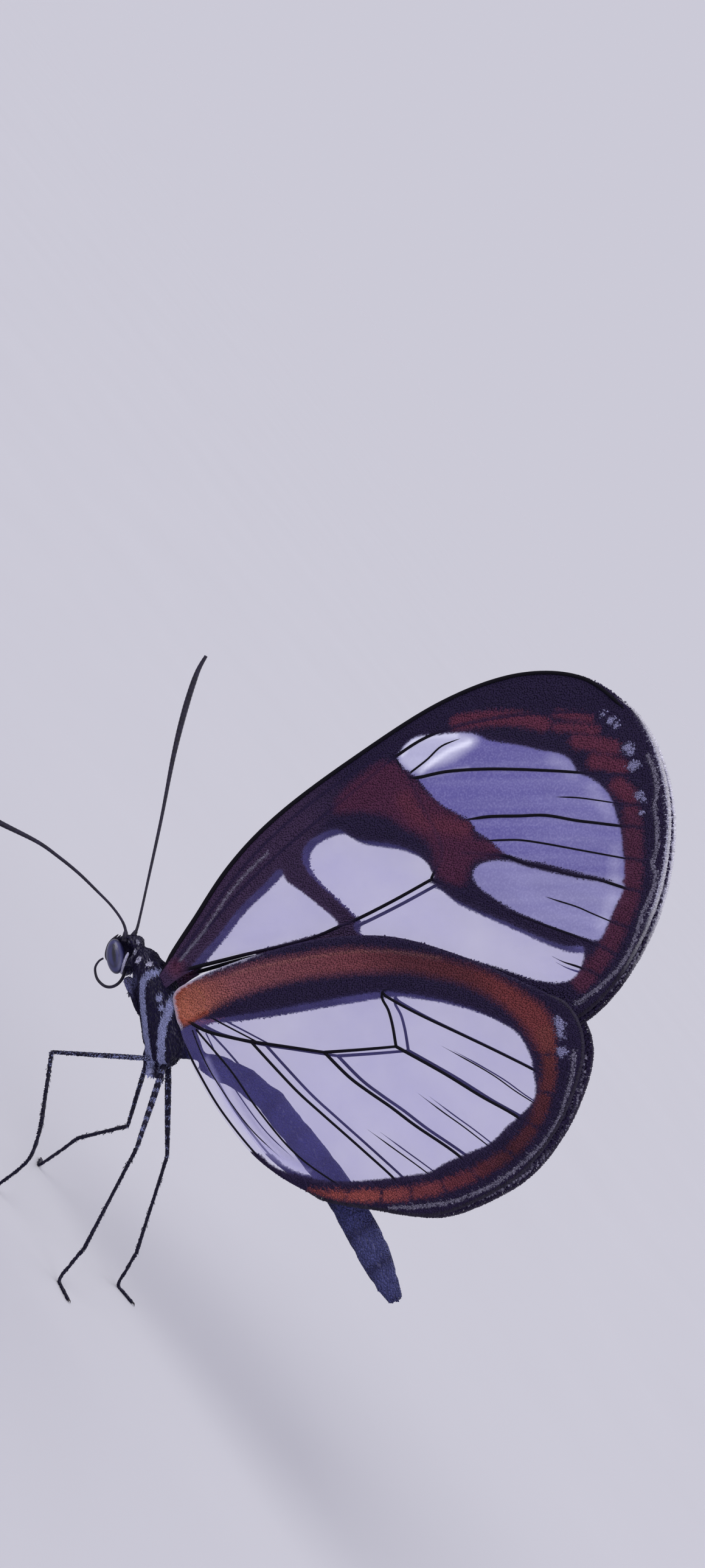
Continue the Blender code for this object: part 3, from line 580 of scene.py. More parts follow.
hindwing_chart.areas("panes", HIND_PANE)
hindwing_chart.areas("outline", HINDWING_OUTLINE)
hindwing_chart.areas("stripe", STRIPE_CORE)
away, along = line_distance(hindwing_chart.spots, smooth(MARGIN_CORE, LINE_STEP))
hindwing_chart.keep("margin", np.interp(along, MARGIN_WIDTH_AT, MARGIN_HALF_WIDTH) - away)
hindwing_chart.keep("round", along)
hindwing_chart.strokes("light", (HIGHLIGHT_LINE, 0.05))
hindwing_chart.strokes("ring", (BASE_RING, 0.10))
hindwing_chart.strokes("fold", (BASE_FOLD, 0.03))
hindwing_chart.strokes("breaks", *((through(spot, PANE_MIDDLE, 0.7), 0.08) for spot in MARGIN_BREAKS))
hindwing_chart.strokes("edge", (HIND_EDGE_LINE, 0.065))
hindwing_chart.strokes("anal fold", *ANAL_FOLDS)
print("hindwing pattern measured")

# %% Hindwing colours
ORANGE_DEEP = linear(148, 62, 40)
STRIPE_AT = (3.0, 6.0, 8.5, 12.0, 15.0, 17.5, 18.6)
STRIPE_COLOURS = np.array([linear(*shade) for shade in (
    (180, 104, 84), (140, 80, 88), (128, 72, 82), (122, 64, 74), (90, 43, 54), (96, 44, 52), (118, 54, 58))])
MARGIN_AT = (0.0, 0.12, 0.25, 0.40, 0.55, 0.70, 0.82, 1.0)
MARGIN_COLOURS = np.array([linear(*shade) for shade in (
    (120, 60, 60), (100, 47, 54), (84, 38, 50), (78, 36, 48), (110, 51, 63), (132, 64, 70), (162, 82, 78),
    (142, 68, 66))])
STRIPE_HIGHLIGHT = linear(158, 108, 100)
FOLD_ORANGE = linear(205, 135, 92)
PANE_RIM = linear(40, 38, 98)


def paint_hindwing(p, lot):
    """Colour, cover by scales, milkiness and whiteness at rows of (x, z)."""
    chart = hindwing_chart
    ragged = lot.normal(0, RAGGED, len(p))
    tint = np.tile(DARK, (len(p), 1))
    rim = chart.read("outline", p)
    pane = chart.read("panes", p)
    on_stripe = soft(p[:, 1] - 0.8 * p[:, 0] - 4.0, 2.0)
    tint = blend(tint, PANE_RIM, 0.12 * soft(pane + 0.12, 0.16) * on_stripe)
    stripe = soft(chart.read("stripe", p) + 0.05 + ragged, 0.5)
    tint = blend(tint, read_rows(p[:, 1] + 0.12 * p[:, 0] - 0.6, STRIPE_AT, STRIPE_COLOURS), stripe)
    margin = soft(chart.read("margin", p) + ragged, 0.28)
    tint = blend(tint, read_rows(chart.read("round", p), MARGIN_AT, MARGIN_COLOURS), margin)
    tint = blend(tint, DARK, 0.9 * soft(chart.read("breaks", p) + ragged, 0.12))
    # The painted highlight along the fold of the stripe.
    tint = blend(tint, STRIPE_HIGHLIGHT, 0.45 * soft(chart.read("light", p), 0.16))
    tint = blend(tint, ORANGE_DEEP, 0.8 * soft(chart.read("ring", p), 0.18))
    tint = blend(tint, FOLD_ORANGE, 0.6 * soft(chart.read("fold", p), 0.1))
    tint = blend(tint, EDGE_GREY, 0.75 * soft(chart.read("edge", p) + ragged * 0.6, 0.08))
    tint = blend(tint, WHITE, 0.7 * soft(0.20 - rim, 0.08) * soft(8.5 - p[:, 1], 1.0) * (p[:, 0] < 0.5))
    tint = paint_spots(tint, p, HIND_SPOTS, ragged)
    fold = soft(chart.read("anal fold", p), 0.2)
    return tint, -pane, 0.12 * fold, 0.35 * fold


print("hindwing colours ready")

# %% [markdown]
# ## The wing's surface
# A real wing is a double skin a few thousandths of a millimetre thick, held flat by its veins and slightly
# pleated between them. A plain plate would look like plastic. So each point of the wing is pushed a little
# to one side by how far it is from the nearest vein, and near the root the wing bends to meet the thorax.

# %% One class for what a wing's pieces share


class Wing:
    """A wing's outline, veins, colours and place."""

    def __init__(self, name, sign, fore, swing):
        self.name, self.sign, self.fore, self.swing = name, sign, fore, swing
        if fore:
            self.chart, self.paint = forewing_chart, paint_forewing
            outline, veins = FOREWING_OUTLINE, FOREWING_VEINS
            self.root, self.axis = np.array(FOREWING_ROOT), np.array((-0.3, 0.95))
            self.root_y, self.flat_y, self.bend = 1.0, 0.6, 4.0
        else:
            self.chart, self.paint = hindwing_chart, paint_hindwing
            outline, veins = HINDWING_OUTLINE, HINDWING_VEINS
            self.root, self.axis = np.array(HINDWING_ROOT), np.array((0.5, 0.87))
            self.root_y, self.flat_y, self.bend = 1.05, 1.5, 3.0
        self.outline = smooth(outline, 0.2, closed=True)
        self.veins = [(smooth(line, 0.2), radius) for line, radius in veins]

    def lift(self, p):
        """Distance from the middle plane at rows of (x, z), with the pleats between the veins."""
        away = np.linalg.norm(p - self.root, axis=1)
        share = np.clip(away / self.bend, 0, 1)
        share = share * share * (3 - 2 * share)
        pleat = 0.07 * np.clip(-self.chart.read("veins", p), 0, 1) ** 1.5 * share
        return self.root_y + (self.flat_y - self.root_y) * share + pleat

    def points(self, p, out=0.0):
        """Insect millimetres of rows of (x, z), raised out from the sheet's middle."""
        c, s = math.cos(self.swing), math.sin(self.swing)
        d = p - self.root
        x = self.root[0] + d[:, 0] * c + d[:, 1] * s
        z = self.root[1] - d[:, 0] * s + d[:, 1] * c
        return np.stack([x, self.sign * (self.lift(p) + out), z], axis=1)


FORE_SWING = math.radians(0.6)
HIND_SWING = math.radians(0.3)
wings = [Wing("forewing_left", -1, True, 0.0), Wing("hindwing_left", -1, False, 0.0),
         Wing("forewing_right", 1, True, FORE_SWING), Wing("hindwing_right", 1, False, HIND_SWING)]
print("four wings,", sum(len(w.veins) for w in wings), "veins")

# %% Helpers that make meshes from arrays


def unit(rows):
    """Rows of an array, each made one long."""
    return rows / np.linalg.norm(rows, axis=1)[:, None]


def make_piece(name, vertices, faces, material, smooth_shading=True):
    """An object from rows of millimetre points and faces of equal size, in metres."""
    mesh = bpy.data.meshes.new(name)
    faces = np.asarray(faces, np.int32)
    mesh.vertices.add(len(vertices))
    mesh.vertices.foreach_set("co", place(vertices).astype(np.float32).ravel())
    mesh.loops.add(faces.size)
    mesh.loops.foreach_set("vertex_index", faces.ravel())
    mesh.polygons.add(len(faces))
    mesh.polygons.foreach_set("loop_start", np.arange(0, faces.size, faces.shape[1], dtype=np.int32))
    mesh.update(calc_edges=True)
    mesh.validate()
    if smooth_shading:
        mesh.shade_smooth()
    mesh.materials.append(material)
    piece = bpy.data.objects.new(name, mesh)
    bpy.context.scene.collection.objects.link(piece)
    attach(piece, "root")
    return piece


def set_tint(piece, colours):
    """Stores one colour a point for the shader to read."""
    rows = np.ones((len(colours), 4), np.float32)
    rows[:, :3] = colours
    piece.data.attributes.new("tint", "FLOAT_COLOR", "POINT").data.foreach_set("color", rows.ravel())


def set_number(piece, name, numbers):
    """Stores one number a point for the shader to read."""
    data = piece.data.attributes.new(name, "FLOAT", "POINT").data
    data.foreach_set("value", np.asarray(numbers, np.float32))


def set_bake_map(piece, per_point):
    """A map named OFBake from one (u, v) a point."""
    layer = piece.data.uv_layers.new(name="OFBake")
    loops = np.empty(len(piece.data.loops), np.int32)
    piece.data.loops.foreach_get("vertex_index", loops)
    layer.data.foreach_set("uv", np.asarray(per_point, np.float32)[loops].ravel())


print("mesh helpers ready")

# %% [markdown]
# The finish of a sheet is two looks in one. Where the sheet is bare it is almost clear: a Transparent
# shader carries a thin veil of pale violet gloss. In the forewing's two lobes the veil is thicker and darker
# violet, as painted shade. Where it is scaled it is solid colour. One number a point, the distance to the
# nearest pane's edge, drives the change, and noise makes that edge ragged.

# %% Finish of the wing sheets
PANE_VIOLET = (0.24, 0.21, 0.66)
# Darker violet of the forewing's lobes, which is painted shade.
SHADE_VIOLET = (0.12, 0.10, 0.38)
SPECKLE_PALE = (0.40, 0.38, 0.72)
SHEEN_WHITE = (0.82, 0.82, 0.98)
SCALE_SHADE = (0.012, 0.008, 0.02)


def wing_sheet_finish():
    """Clear panes and scaled borders in one material."""
    f = Finish("wing_sheet")
    tint = f.attribute("tint", "Color")
    grain = f.noise(9000.0, 2.0)
    haze = f.noise(260.0, 3.0)
    drift = f.noise(90.0, 2.0)
    cover = (f.attribute("cover") * 7.0 + grain * 1.6 - 0.45).clamp()
    # Milk is a milky veil on the hindwing's folds and painted shade in the forewing's lobes.
    milk_and_shade = f.attribute("milk_and_shade")
    white = f.attribute("white")
    clear = f.node("BsdfTransparent", {}, {"Color": (0.985, 0.98, 1.0, 1.0)})
    violet = f.mix(milk_and_shade, PANE_VIOLET, SHADE_VIOLET)
    speckle = ((drift * 3.0 - 1.2).clamp() * 0.3 + (grain * 3.0 - 1.3).clamp() * 0.35) * milk_and_shade
    pale = f.mix(speckle, violet, SPECKLE_PALE)
    veil = f.principled(Base_Color=f.mix(white, pale, SHEEN_WHITE), Roughness=0.2)
    shine = f.node("LayerWeight", {}, {"Blend": 0.25}, "Fresnel")
    thickness = (shine * 0.22 + milk_and_shade * 0.56 + haze * 0.15 + white * 0.30 + 0.01).clamp()
    pane = f.node("MixShader", {}, {0: thickness, 1: clear, 2: veil})
    solid_colour = f.mix(grain * 0.35, tint, SCALE_SHADE)
    solid = f.principled(Base_Color=solid_colour, Roughness=0.6, Specular_IOR_Level=0.2)
    return f.finish(f.node("MixShader", {}, {0: cover, 1: pane, 2: solid}))


sheet_finish = wing_sheet_finish()
print("made", sheet_finish.name)

# %% Fill each outline and thicken it
SHEET_GRID = 0.17
SHEET_THICKNESS = 0.04
RIM_INSET = 0.1


def build_sheet(wing):
    """A thin sheet inside the wing's outline, with the pattern stored at its points."""
    lot = np.random.default_rng(11)
    low, high = wing.outline.min(0), wing.outline.max(0)
    xs = np.arange(low[0], high[0], SHEET_GRID)
    zs = np.arange(low[1], high[1], SHEET_GRID * 0.866)
    grid = np.array([(x + 0.5 * SHEET_GRID * (j % 2), z) for j, z in enumerate(zs) for x in xs])
    grid = grid[wing.chart.read("outline", grid) > RIM_INSET + 0.12]
    along = np.roll(wing.outline, -1, 0) - np.roll(wing.outline, 1, 0)
    inward = unit(np.stack([-along[:, 1], along[:, 0]], 1))
    if area_distance(wing.outline[:1] + inward[:1] * 0.1, wing.outline)[0] < 0:
        inward = -inward
    rim = wing.outline + inward * RIM_INSET
    flat = [Vector(spot) for spot in np.vstack([rim, grid])]
    verts, _, faces, _, _, _ = delaunay_2d_cdt(flat, [], [list(range(len(rim)))], 1, 1e-5)
    p = np.array([v[:] for v in verts])
    piece = make_piece("sheet_" + wing.name, wing.points(p), faces, sheet_finish)
    tint, cover, milk_and_shade, white = wing.paint(p, lot)
    set_tint(piece, tint)
    for name, numbers in (("cover", cover), ("milk_and_shade", milk_and_shade), ("white", white)):
        set_number(piece, name, numbers)
    thick = piece.modifiers.new("thickness", "SOLIDIFY")
    thick.thickness = SHEET_THICKNESS * MM
    thick.offset = 0.0
    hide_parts(wing.name)
    return piece


sheets = [build_sheet(wing) for wing in wings]
print("sheet triangles:", [len(s.data.polygons) for s in sheets])

# %% [markdown]
# ## Veins
# Veins are hollow tubes, thick at the root and hair-thin at the margin. They could be painted on the sheet,
# but a real tube catches the light and stands out in a side view. Each is a ring of points swept along its
# line, with the sheet through its middle.

# %% Sweep a tube along a line


def sweep(line, radii, sides, flatten=1.0):
    """Vertices and triangles of a closed tube along rows of points, with one radius for each."""
    ahead = unit(np.gradient(line, axis=0))
    side = np.cross(ahead[0], (0, 1, 0.01))
    angles = np.arange(sides)[:, None] * 2 * math.pi / sides
    rings = []
    for centre, way, radius in zip(line, ahead, radii):
        side = side - way * (side @ way)
        side /= np.linalg.norm(side)
        other = np.cross(way, side)
        rings.append(centre + radius * (np.cos(angles) * side + flatten * np.sin(angles) * other))
    vertices = np.vstack(rings + [line[:1], line[-1:]])
    n = len(line)
    faces = []
    for k in range(n - 1):
        for i in range(sides):
            j = (i + 1) % sides
            a, b, c, d = k * sides + i, k * sides + j, (k + 1) * sides + j, (k + 1) * sides + i
            faces += [(a, b, c), (a, c, d)]
    for i in range(sides):
        j = (i + 1) % sides
        faces += [(n * sides, j, i), (n * sides + 1, (n - 1) * sides + i, (n - 1) * sides + j)]
    return vertices, np.array(faces)


def join(parts):
    """One set of vertices and faces from several."""
    vertices, faces, count = [], [], 0
    for v, t in parts:
        vertices.append(v)
        faces.append(t + count)
        count += len(v)
    return np.vstack(vertices), np.vstack(faces)


print("tube helpers ready")

# %% The finish of the veins


def grained(name, shade, roughness, specular=0.5, scale=5000.0, detail=3.0, strength=0.4, distance=0.00003):
    """A finish with a fine bumpy grain. shade(finish, grain) gives its colour."""
    f = Finish(name)
    grain = f.noise(scale, detail)
    return f.finish(f.principled(Base_Color=shade(f, grain), Roughness=roughness, Specular_IOR_Level=specular,
                                 Normal=f.bump(grain, strength, distance)))


def vein_shade(f, grain):
    return f.mix(grain * 0.4, f.attribute("tint", "Color"), (0.004, 0.003, 0.007))


vein_finish = grained("vein_dark", vein_shade, 0.7, 0.1)
print("made", vein_finish.name)

# %% Tubes along the veins
VEIN_SWELL = 1.3
VEIN_SIDES = 8
VEIN_BLACK = linear(8, 6, 16)
SUNK = 0.4
COSTA_RADIUS = 0.105
RUN_OUT = 1.3
FREE_END = 0.6


def end_taper(line, others):
    """Share of its radius at each point of a vein, which runs out to a point where it meets no other vein."""
    length = walked(line)
    share = np.ones(len(line))
    for end, away in ((line[0], length), (line[-1], length[-1] - length)):
        if np.linalg.norm(others - end, axis=1).min() > FREE_END:
            share = np.minimum(share, np.clip(away / RUN_OUT, 0.15, 1))
    return share


def build_veins(wing):
    """Black tubes over the panes. Under the scales they sink and take the pattern's colour."""
    lot = np.random.default_rng(17)
    parts, colours = [], []
    lines = list(wing.veins)
    if wing.fore:
        lines.append((smooth(FOREWING_COSTA, 0.3), COSTA_RADIUS))
    for k, (line, width) in enumerate(lines):
        tint, cover, _, _ = wing.paint(line, lot)
        scaled = soft(cover - 0.12, 0.3) * (k < len(wing.veins))
        others = np.vstack([other for j, (other, _) in enumerate(lines) if j != k])
        taper = np.linspace(VEIN_SWELL, VEIN_SWELL * 0.8, len(line)) * (1 - SUNK * scaled)
        parts.append(sweep(wing.points(line), width * (taper * end_taper(line, others)), VEIN_SIDES))
        shade = blend(VEIN_BLACK, 0.8 * tint, scaled)
        colours += [np.repeat(shade, VEIN_SIDES, axis=0), shade[:1], shade[-1:]]
    piece = make_piece("veins_" + wing.name, *join(parts), vein_finish)
    set_tint(piece, np.vstack(colours))
    return piece


veins = [build_veins(wing) for wing in wings]
print("vein triangles:", [len(v.data.polygons) for v in veins])

# %% [markdown]
# ## Wing scales
# The coloured borders of the wings are shingled with tiny scales, a little over a tenth of a millimetre
# wide, in rows round the root, each overlapping the next. Particle hair or instances would be quick but
# don't survive an export, so the scales are real meshes, made all at once from arrays: a four-point wedge
# repeated thousands of times. Each scale takes its colour from the pattern at its own root.

# %% The finish of the scales


def scale_finish(name, roughness):
    f = Finish(name)
    return f.finish(f.principled(Base_Color=f.attribute("tint", "Color"), Roughness=roughness,
                                 Specular_IOR_Level=0.16))


wing_scale_finish = scale_finish("wing_scales", 0.55)
print("made", wing_scale_finish.name)

# %% Many scales from one wedge
WEDGE = np.array([(0.0, 0.0, 0.25), (0.95, 0.5, 1.0), (0.95, -0.5, 1.0), (0.6, 0.0, 0.0)])
WEDGE_FACES = np.array([(0, 2, 1), (0, 1, 3), (1, 2, 3), (2, 0, 3)])
SCALE_LIFT = 0.004
PATCH_SIZE = 0.003


def wedges(roots, ahead, aside, outward, length, width, rise, colours):
    """Vertices, faces and colours of many scales at once. Each size is one number, or one for each scale."""
    length, width, rise = (np.broadcast_to(size, len(roots))[:, None, None] for size in (length, width, rise))
    v = (roots[:, None] + WEDGE[:, :1] * length * ahead[:, None] + WEDGE[:, 1:2] * width * aside[:, None]
         + (SCALE_LIFT + WEDGE[:, 2:] * rise) * outward[:, None])
    faces = (np.arange(len(roots))[:, None, None] * len(WEDGE) + WEDGE_FACES).reshape(-1, 3)
    return v.reshape(-1, 3), faces, np.repeat(colours, len(WEDGE), axis=0)


def scale_piece(name, parts, uv, finish):
    """One object from the vertices, faces and colours of scales. On its bake map each scale is a small patch
    at its root's (u, v)."""
    piece = make_piece(name, *join([(v, f) for v, f, _ in parts]), finish, smooth_shading=False)
    set_tint(piece, np.vstack([colours for _, _, colours in parts]))
    set_bake_map(piece, (uv[:, None] + (WEDGE[:, :2] - (0.5, 0.0)) * PATCH_SIZE).reshape(-1, 2))
    return piece


def lie_on(wing, p, way, out, face=1, reach=0.02):
    """Where scales start that lie at rows of (x, z) and point the given way, and their three directions."""
    base = wing.points(p, out)
    ahead = unit(wing.points(p + way * reach, out) - base)
    outward = np.tile((0.0, wing.sign * face, 0.0), (len(p), 1))
    return base, ahead, np.cross(outward, ahead), outward


print("a scale has", len(WEDGE), "points")

# %% Lay the scales in rows
OUTER_ROWS = (0.115, 0.095)
INNER_ROWS = (0.17, 0.14)
ROOT_REACH = 1.6
SCALE_LENGTH = 1.75
SCALE_WIDTH = 1.3
SCALE_RISE = 0.022
SWAY = 0.12


def build_scales(wing, face):
    """One layer of scales: face is 1 on the wing's outer side and -1 on its inner side."""
    lot = np.random.default_rng(21 if face > 0 else 22)
    row_step, scale_step = OUTER_ROWS if face > 0 else INNER_ROWS
    reach = np.linalg.norm(wing.outline - wing.root, axis=1).max()
    root_count = int(4 * ROOT_REACH ** 2 / (0.5 * row_step * scale_step))
    rows = [lot.uniform(-ROOT_REACH, ROOT_REACH, (root_count, 2))]
    rows[0] = rows[0][np.linalg.norm(rows[0], axis=1) < ROOT_REACH]
    for k, radius in enumerate(np.arange(ROOT_REACH, reach, row_step)):
        count = int(2 * math.pi * radius / scale_step)
        angle = (np.arange(count) + 0.5 * (k % 2)) * 2 * math.pi / count
        angle += lot.normal(0, 0.2 * scale_step / radius, count)
        r = radius + lot.normal(0, 0.2 * row_step, count)
        rows.append(np.stack([r * np.cos(angle), r * np.sin(angle)], 1))
    p = np.vstack(rows) + wing.root
    p = p[wing.chart.read("outline", p) > RIM_INSET + 0.04]
    tint, cover, _, _ = wing.paint(p, lot)
    keep = cover + lot.normal(0, 0.03, len(p)) > 0.0
    p, tint, cover = p[keep], tint[keep], cover[keep]
    tint = tint * lot.uniform(0.86, 1.16, len(p))[:, None]
    d = p - wing.root
    radial = np.clip(np.linalg.norm(d, axis=1) / ROOT_REACH - 0.6, 0, 1)
    d = d * radial[:, None] / np.linalg.norm(d, axis=1)[:, None] + (1 - radial[:, None]) * wing.axis
    way = np.arctan2(d[:, 1], d[:, 0]) + lot.normal(0, SWAY, len(p))
    nearest = np.minimum(cover, wing.chart.read("outline", p) - RIM_INSET)
    size = lot.uniform(0.85, 1.15, len(p)) * (0.75 + 0.25 * radial) * np.clip(0.45 + 1.8 * nearest, 0.45, 1)
    lying = lie_on(wing, p, np.stack([np.cos(way), np.sin(way)], 1), face * SHEET_THICKNESS / 2, face)
    part = wedges(*lying, SCALE_LENGTH * row_step * size, SCALE_WIDTH * scale_step * size, SCALE_RISE, tint)
    low, span = wing.outline.min(0), (wing.outline.max(0) - wing.outline.min(0)).max() * 1.02
    name = "scales_%s_%s" % (wing.name, "outer" if face > 0 else "inner")
    return scale_piece(name, [part], (p - low) / span * 0.98 + 0.01, wing_scale_finish)


scales = [build_scales(wing, face) for wing in wings for face in (1, -1)]
print("scale triangles:", [len(s.data.polygons) for s in scales])

# %% [markdown]
# The pale lines along the margins are only as wide as one scale, so with those scales alone they would look
# dotted. On the real wing they are crisp because many small pale scales lie close together. So the lines
# and the white spots get a second layer, half as long and much denser, over the first.

# %% Fine scales on the pale lines and spots
MARK_STEP = 0.042
MARK_OUT = 0.045
MARK_SIZE = (0.1, 0.05, 0.01)


def pale_marks(wing, p):
    """How far inside a pale line or spot each row of (x, z) lies, in millimetres."""
    inside = wing.chart.read("edge", p)
    if wing.fore:
        inside = np.maximum(inside, wing.chart.read("costal", p))
    for x, z, size in (WHITE_SPOTS if wing.fore else HIND_SPOTS):
        inside = np.maximum(inside, size - np.hypot(p[:, 0] - x, p[:, 1] - z))
    return inside


def build_marks(wing):
    """Small scales, close together, over the wing's pale lines and spots."""
    lot = np.random.default_rng(25)
    low, high = wing.outline.min(0), wing.outline.max(0)
    p = lot.uniform(low, high, (int(np.prod((high - low) / MARK_STEP)), 2))
    p = p[(pale_marks(wing, p) > -0.01) & (wing.chart.read("outline", p) > RIM_INSET)]
    tint = wing.paint(p, lot)[0] * lot.uniform(0.85, 1.15, len(p))[:, None]
    way = unit(p - wing.root) + lot.normal(0, SWAY, p.shape)
    part = wedges(*lie_on(wing, p, way, MARK_OUT), *MARK_SIZE, tint)
    uv = (p - low) / (high - low).max() * 0.96 + 0.01
    return scale_piece("marks_" + wing.name, [part], uv, wing_scale_finish)


marks = [build_marks(wing) for wing in wings]
print("mark triangles:", [len(m.data.polygons) for m in marks])

# %% [markdown]
# ## Fringe
# The outer margin carries a fringe of long narrow scales that stick out in the plane of the wing. It is
# what makes a wing's edge look soft. The fringe is dark and grey, and white along the upper part of the
# forewing's margin.

# %% Comb the fringe round the margins
FRINGE_STEP = 0.034
FRINGE_WIDTH = 0.045
FRINGE_ROOT = 0.22
FRINGE_RISE = 0.006
FRINGE_LAYERS = ((0.31, -0.015), (0.29, 0.0), (0.27, 0.015))
FRINGE_DARK = linear(38, 30, 50)
FRINGE_GREY = linear(140, 136, 162)
FRINGE_WHITE = linear(240, 238, 250)


def share_at(wing, spot):
    """Share of the outline's length at the point nearest to a spot."""
    return np.argmin(np.linalg.norm(wing.outline - np.array(spot), axis=1)) / len(wing.outline)


def build_fringe(wing, first, last, grey, white=()):
    """Fringe scales along the outline from one spot to another, a share of them grey, and white between the
    spots of the last pair."""
    lot = np.random.default_rng(31)
    ring = np.vstack([wing.outline, wing.outline[:1]])
    length = walked(ring)
    start, stop = share_at(wing, first), share_at(wing, last)
    count = int((stop - start) * length[-1] / FRINGE_STEP)
    parts, places = [], []
    for layer, (reach, out) in enumerate(FRINGE_LAYERS):
        at = (start + (stop - start) * (np.arange(count) + lot.random(count)) / count) * length[-1]
        p = read_rows(at, length, ring)
        along = unit(read_rows(at + 0.1, length, ring) - p)
        away = np.stack([along[:, 1], -along[:, 0]], 1)
        if wing.chart.read("outline", p[:1] + away[:1] * 0.3)[0] > 0:
            away = -away
        away = away + along * lot.normal(0.10, 0.06, count)[:, None]
        tint = blend(np.tile(FRINGE_DARK, (count, 1)), FRINGE_GREY, grey * lot.uniform(0.4, 1.6, count))
        if white:
            low, high = (share_at(wing, spot) * length[-1] for spot in white)
            pale = soft(at - low, 1.5) * soft(high - at, 5.0) * lot.uniform(0.65, 1.0, count)
            tint = blend(tint, FRINGE_WHITE, pale)
        tint *= lot.uniform(0.8, 1.15, count)[:, None]
        near_end = np.minimum(at - at.min(), at.max() - at)
        size = lot.uniform(0.88, 1.04, count) * reach * np.clip(0.3 + near_end / 1.5, 0, 1)
        lying = lie_on(wing, p - away * FRINGE_ROOT, away, out, reach=0.1)
        parts.append(wedges(*lying, size, FRINGE_WIDTH, FRINGE_RISE, tint))
        places.append(np.stack([0.02 + 0.96 * at / length[-1], np.full(count, 0.2 + 0.3 * layer)], 1))
    return scale_piece("fringe_" + wing.name, parts, np.vstack(places), wing_scale_finish)


for wing in wings:
    if wing.fore:
        build_fringe(wing, (0.4, 32.5), (0.2, 9.0), 0.05, ((0.2, 32.5), (11.2, 25.8)))
    else:
        build_fringe(wing, (10.6, 20.0), (11.2, 3.4), 0.08)
print("fringes done")

# %% [markdown]
# ## The body's skin
# Thorax, waist and abdomen are parted in the solids, but on the insect they are one furry surface. The
# solids are copied, swollen until the gaps close, joined by a voxel remesh and shrunk again, which leaves
# one smooth skin with soft creases where the parts met. Small lumps are joined in at the neck, waist,
# shoulders and hips.

# %% A way to make one skin from the solids
GROW = 0.2
SHRINK = 1.15
VOXEL = 0.07


def rows_of(items, name, kind=np.float32):
    """Numbers of a mesh's points or triangles, in rows of three."""
    numbers = np.empty(len(items) * 3, kind)
    items.foreach_get(name, numbers)
    return numbers.reshape(-1, 3)


def skin_from(name, nodes, lumps, material):
    """A closed skin over copies of the named solids and of lumps, each a centre, half sizes and a tilt."""
    bm = bmesh.new()
    for node in nodes:
        bm.from_mesh(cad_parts[node].data)
    bmesh.ops.remove_doubles(bm, verts=bm.verts, dist=0.00001)
    bm.normal_update()
    for vertex in bm.verts:
        vertex.co += vertex.normal * GROW * MM
    for centre, size, tilt in lumps:
        where = Matrix.Translation(place(centre)) @ Matrix.Rotation(tilt, 4, "Y")
        bmesh.ops.create_uvsphere(bm, u_segments=20, v_segments=12, radius=1.0,
                                  matrix=where @ Matrix.Diagonal((*(s * MM for s in size), 1.0)))
    mesh = bpy.data.meshes.new(name)
    bm.to_mesh(mesh)
    bm.free()
    piece = bpy.data.objects.new(name, mesh)
    bpy.context.scene.collection.objects.link(piece)
    remesh = piece.modifiers.new("skin", "REMESH")
    remesh.mode = "VOXEL"
    remesh.voxel_size = VOXEL * MM
    relax = piece.modifiers.new("relax", "SMOOTH")
    relax.factor = 0.5
    relax.iterations = 8
    whole = bpy.data.meshes.new_from_object(piece.evaluated_get(bpy.context.evaluated_depsgraph_get()))
    piece.modifiers.clear()
    piece.data = whole
    whole.materials.clear()
    whole.materials.append(material)
    co, normals = rows_of(whole.vertices, "co"), rows_of(whole.vertex_normals, "vector")
    whole.vertices.foreach_set("co", (co - normals * np.float32(GROW * MM * SHRINK)).ravel())
    whole.update()
    whole.shade_smooth()
    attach(piece, "root")
    return piece


def points_of(piece):
    """Insect millimetres and normals of a mesh's points."""
    co, normals = rows_of(piece.data.vertices, "co"), rows_of(piece.data.vertex_normals, "vector")
    return co.astype(float) / MM - SHIFT, normals.astype(float)


print("skin helpers ready, for squares of", VOXEL, "mm")

# %% Body colours
BODY_DARK = linear(30, 24, 58)
BODY_PALE = linear(156, 160, 204)
ABDOMEN_SLATE = linear(48, 48, 102)
ABDOMEN_TIP = linear(78, 80, 132)
THROAT_GREY = linear(122, 122, 172)
RING_START, RING_PITCH = 2.2, 2.04
SIDE_STRIPES = (
    (((-3.32, 3.6), (-3.43, 3.05), (-3.21, 2.65), (-2.54, 2.12), (-1.64, 1.57), (-0.74, 1.0), (0.34, 0.33),
      (0.75, -0.05)), 0.19),
    (((-1.88, 3.96), (-1.62, 3.51), (-1.16, 2.9), (-0.72, 2.25), (-0.19, 1.74), (0.51, 1.1), (0.88, 0.7),
      (1.4, 0.3)), 0.21),
    (((-2.08, 3.0), (-2.02, 2.9)), 0.15),
    (((-1.58, 2.76), (-1.52, 2.7)), 0.11),
)
HEAD_SPOTS = ((-5.76, 3.08, 0.13), (-5.39, 3.66, 0.14), (-5.04, 3.15, 0.12), (-4.45, 3.15, 0.15),
              (-3.97, 3.50, 0.14))


def body_marks(p):
    """How strongly each row of body points lies in a pale stripe and in a white spot."""
    flat = p[:, (0, 2)]
    sides = np.clip((np.abs(p[:, 1]) - 0.3) / 0.2, 0, 1) * (p[:, 0] < 2.0)
    stripe = soft(stroke_distance(flat, SIDE_STRIPES), 0.07) * sides
    spot = np.zeros(len(p))
    for x, z, size in HEAD_SPOTS:
        spot = np.maximum(spot, soft(size - np.hypot(p[:, 0] - x, p[:, 2] - z), 0.06))
    return stripe, spot * sides


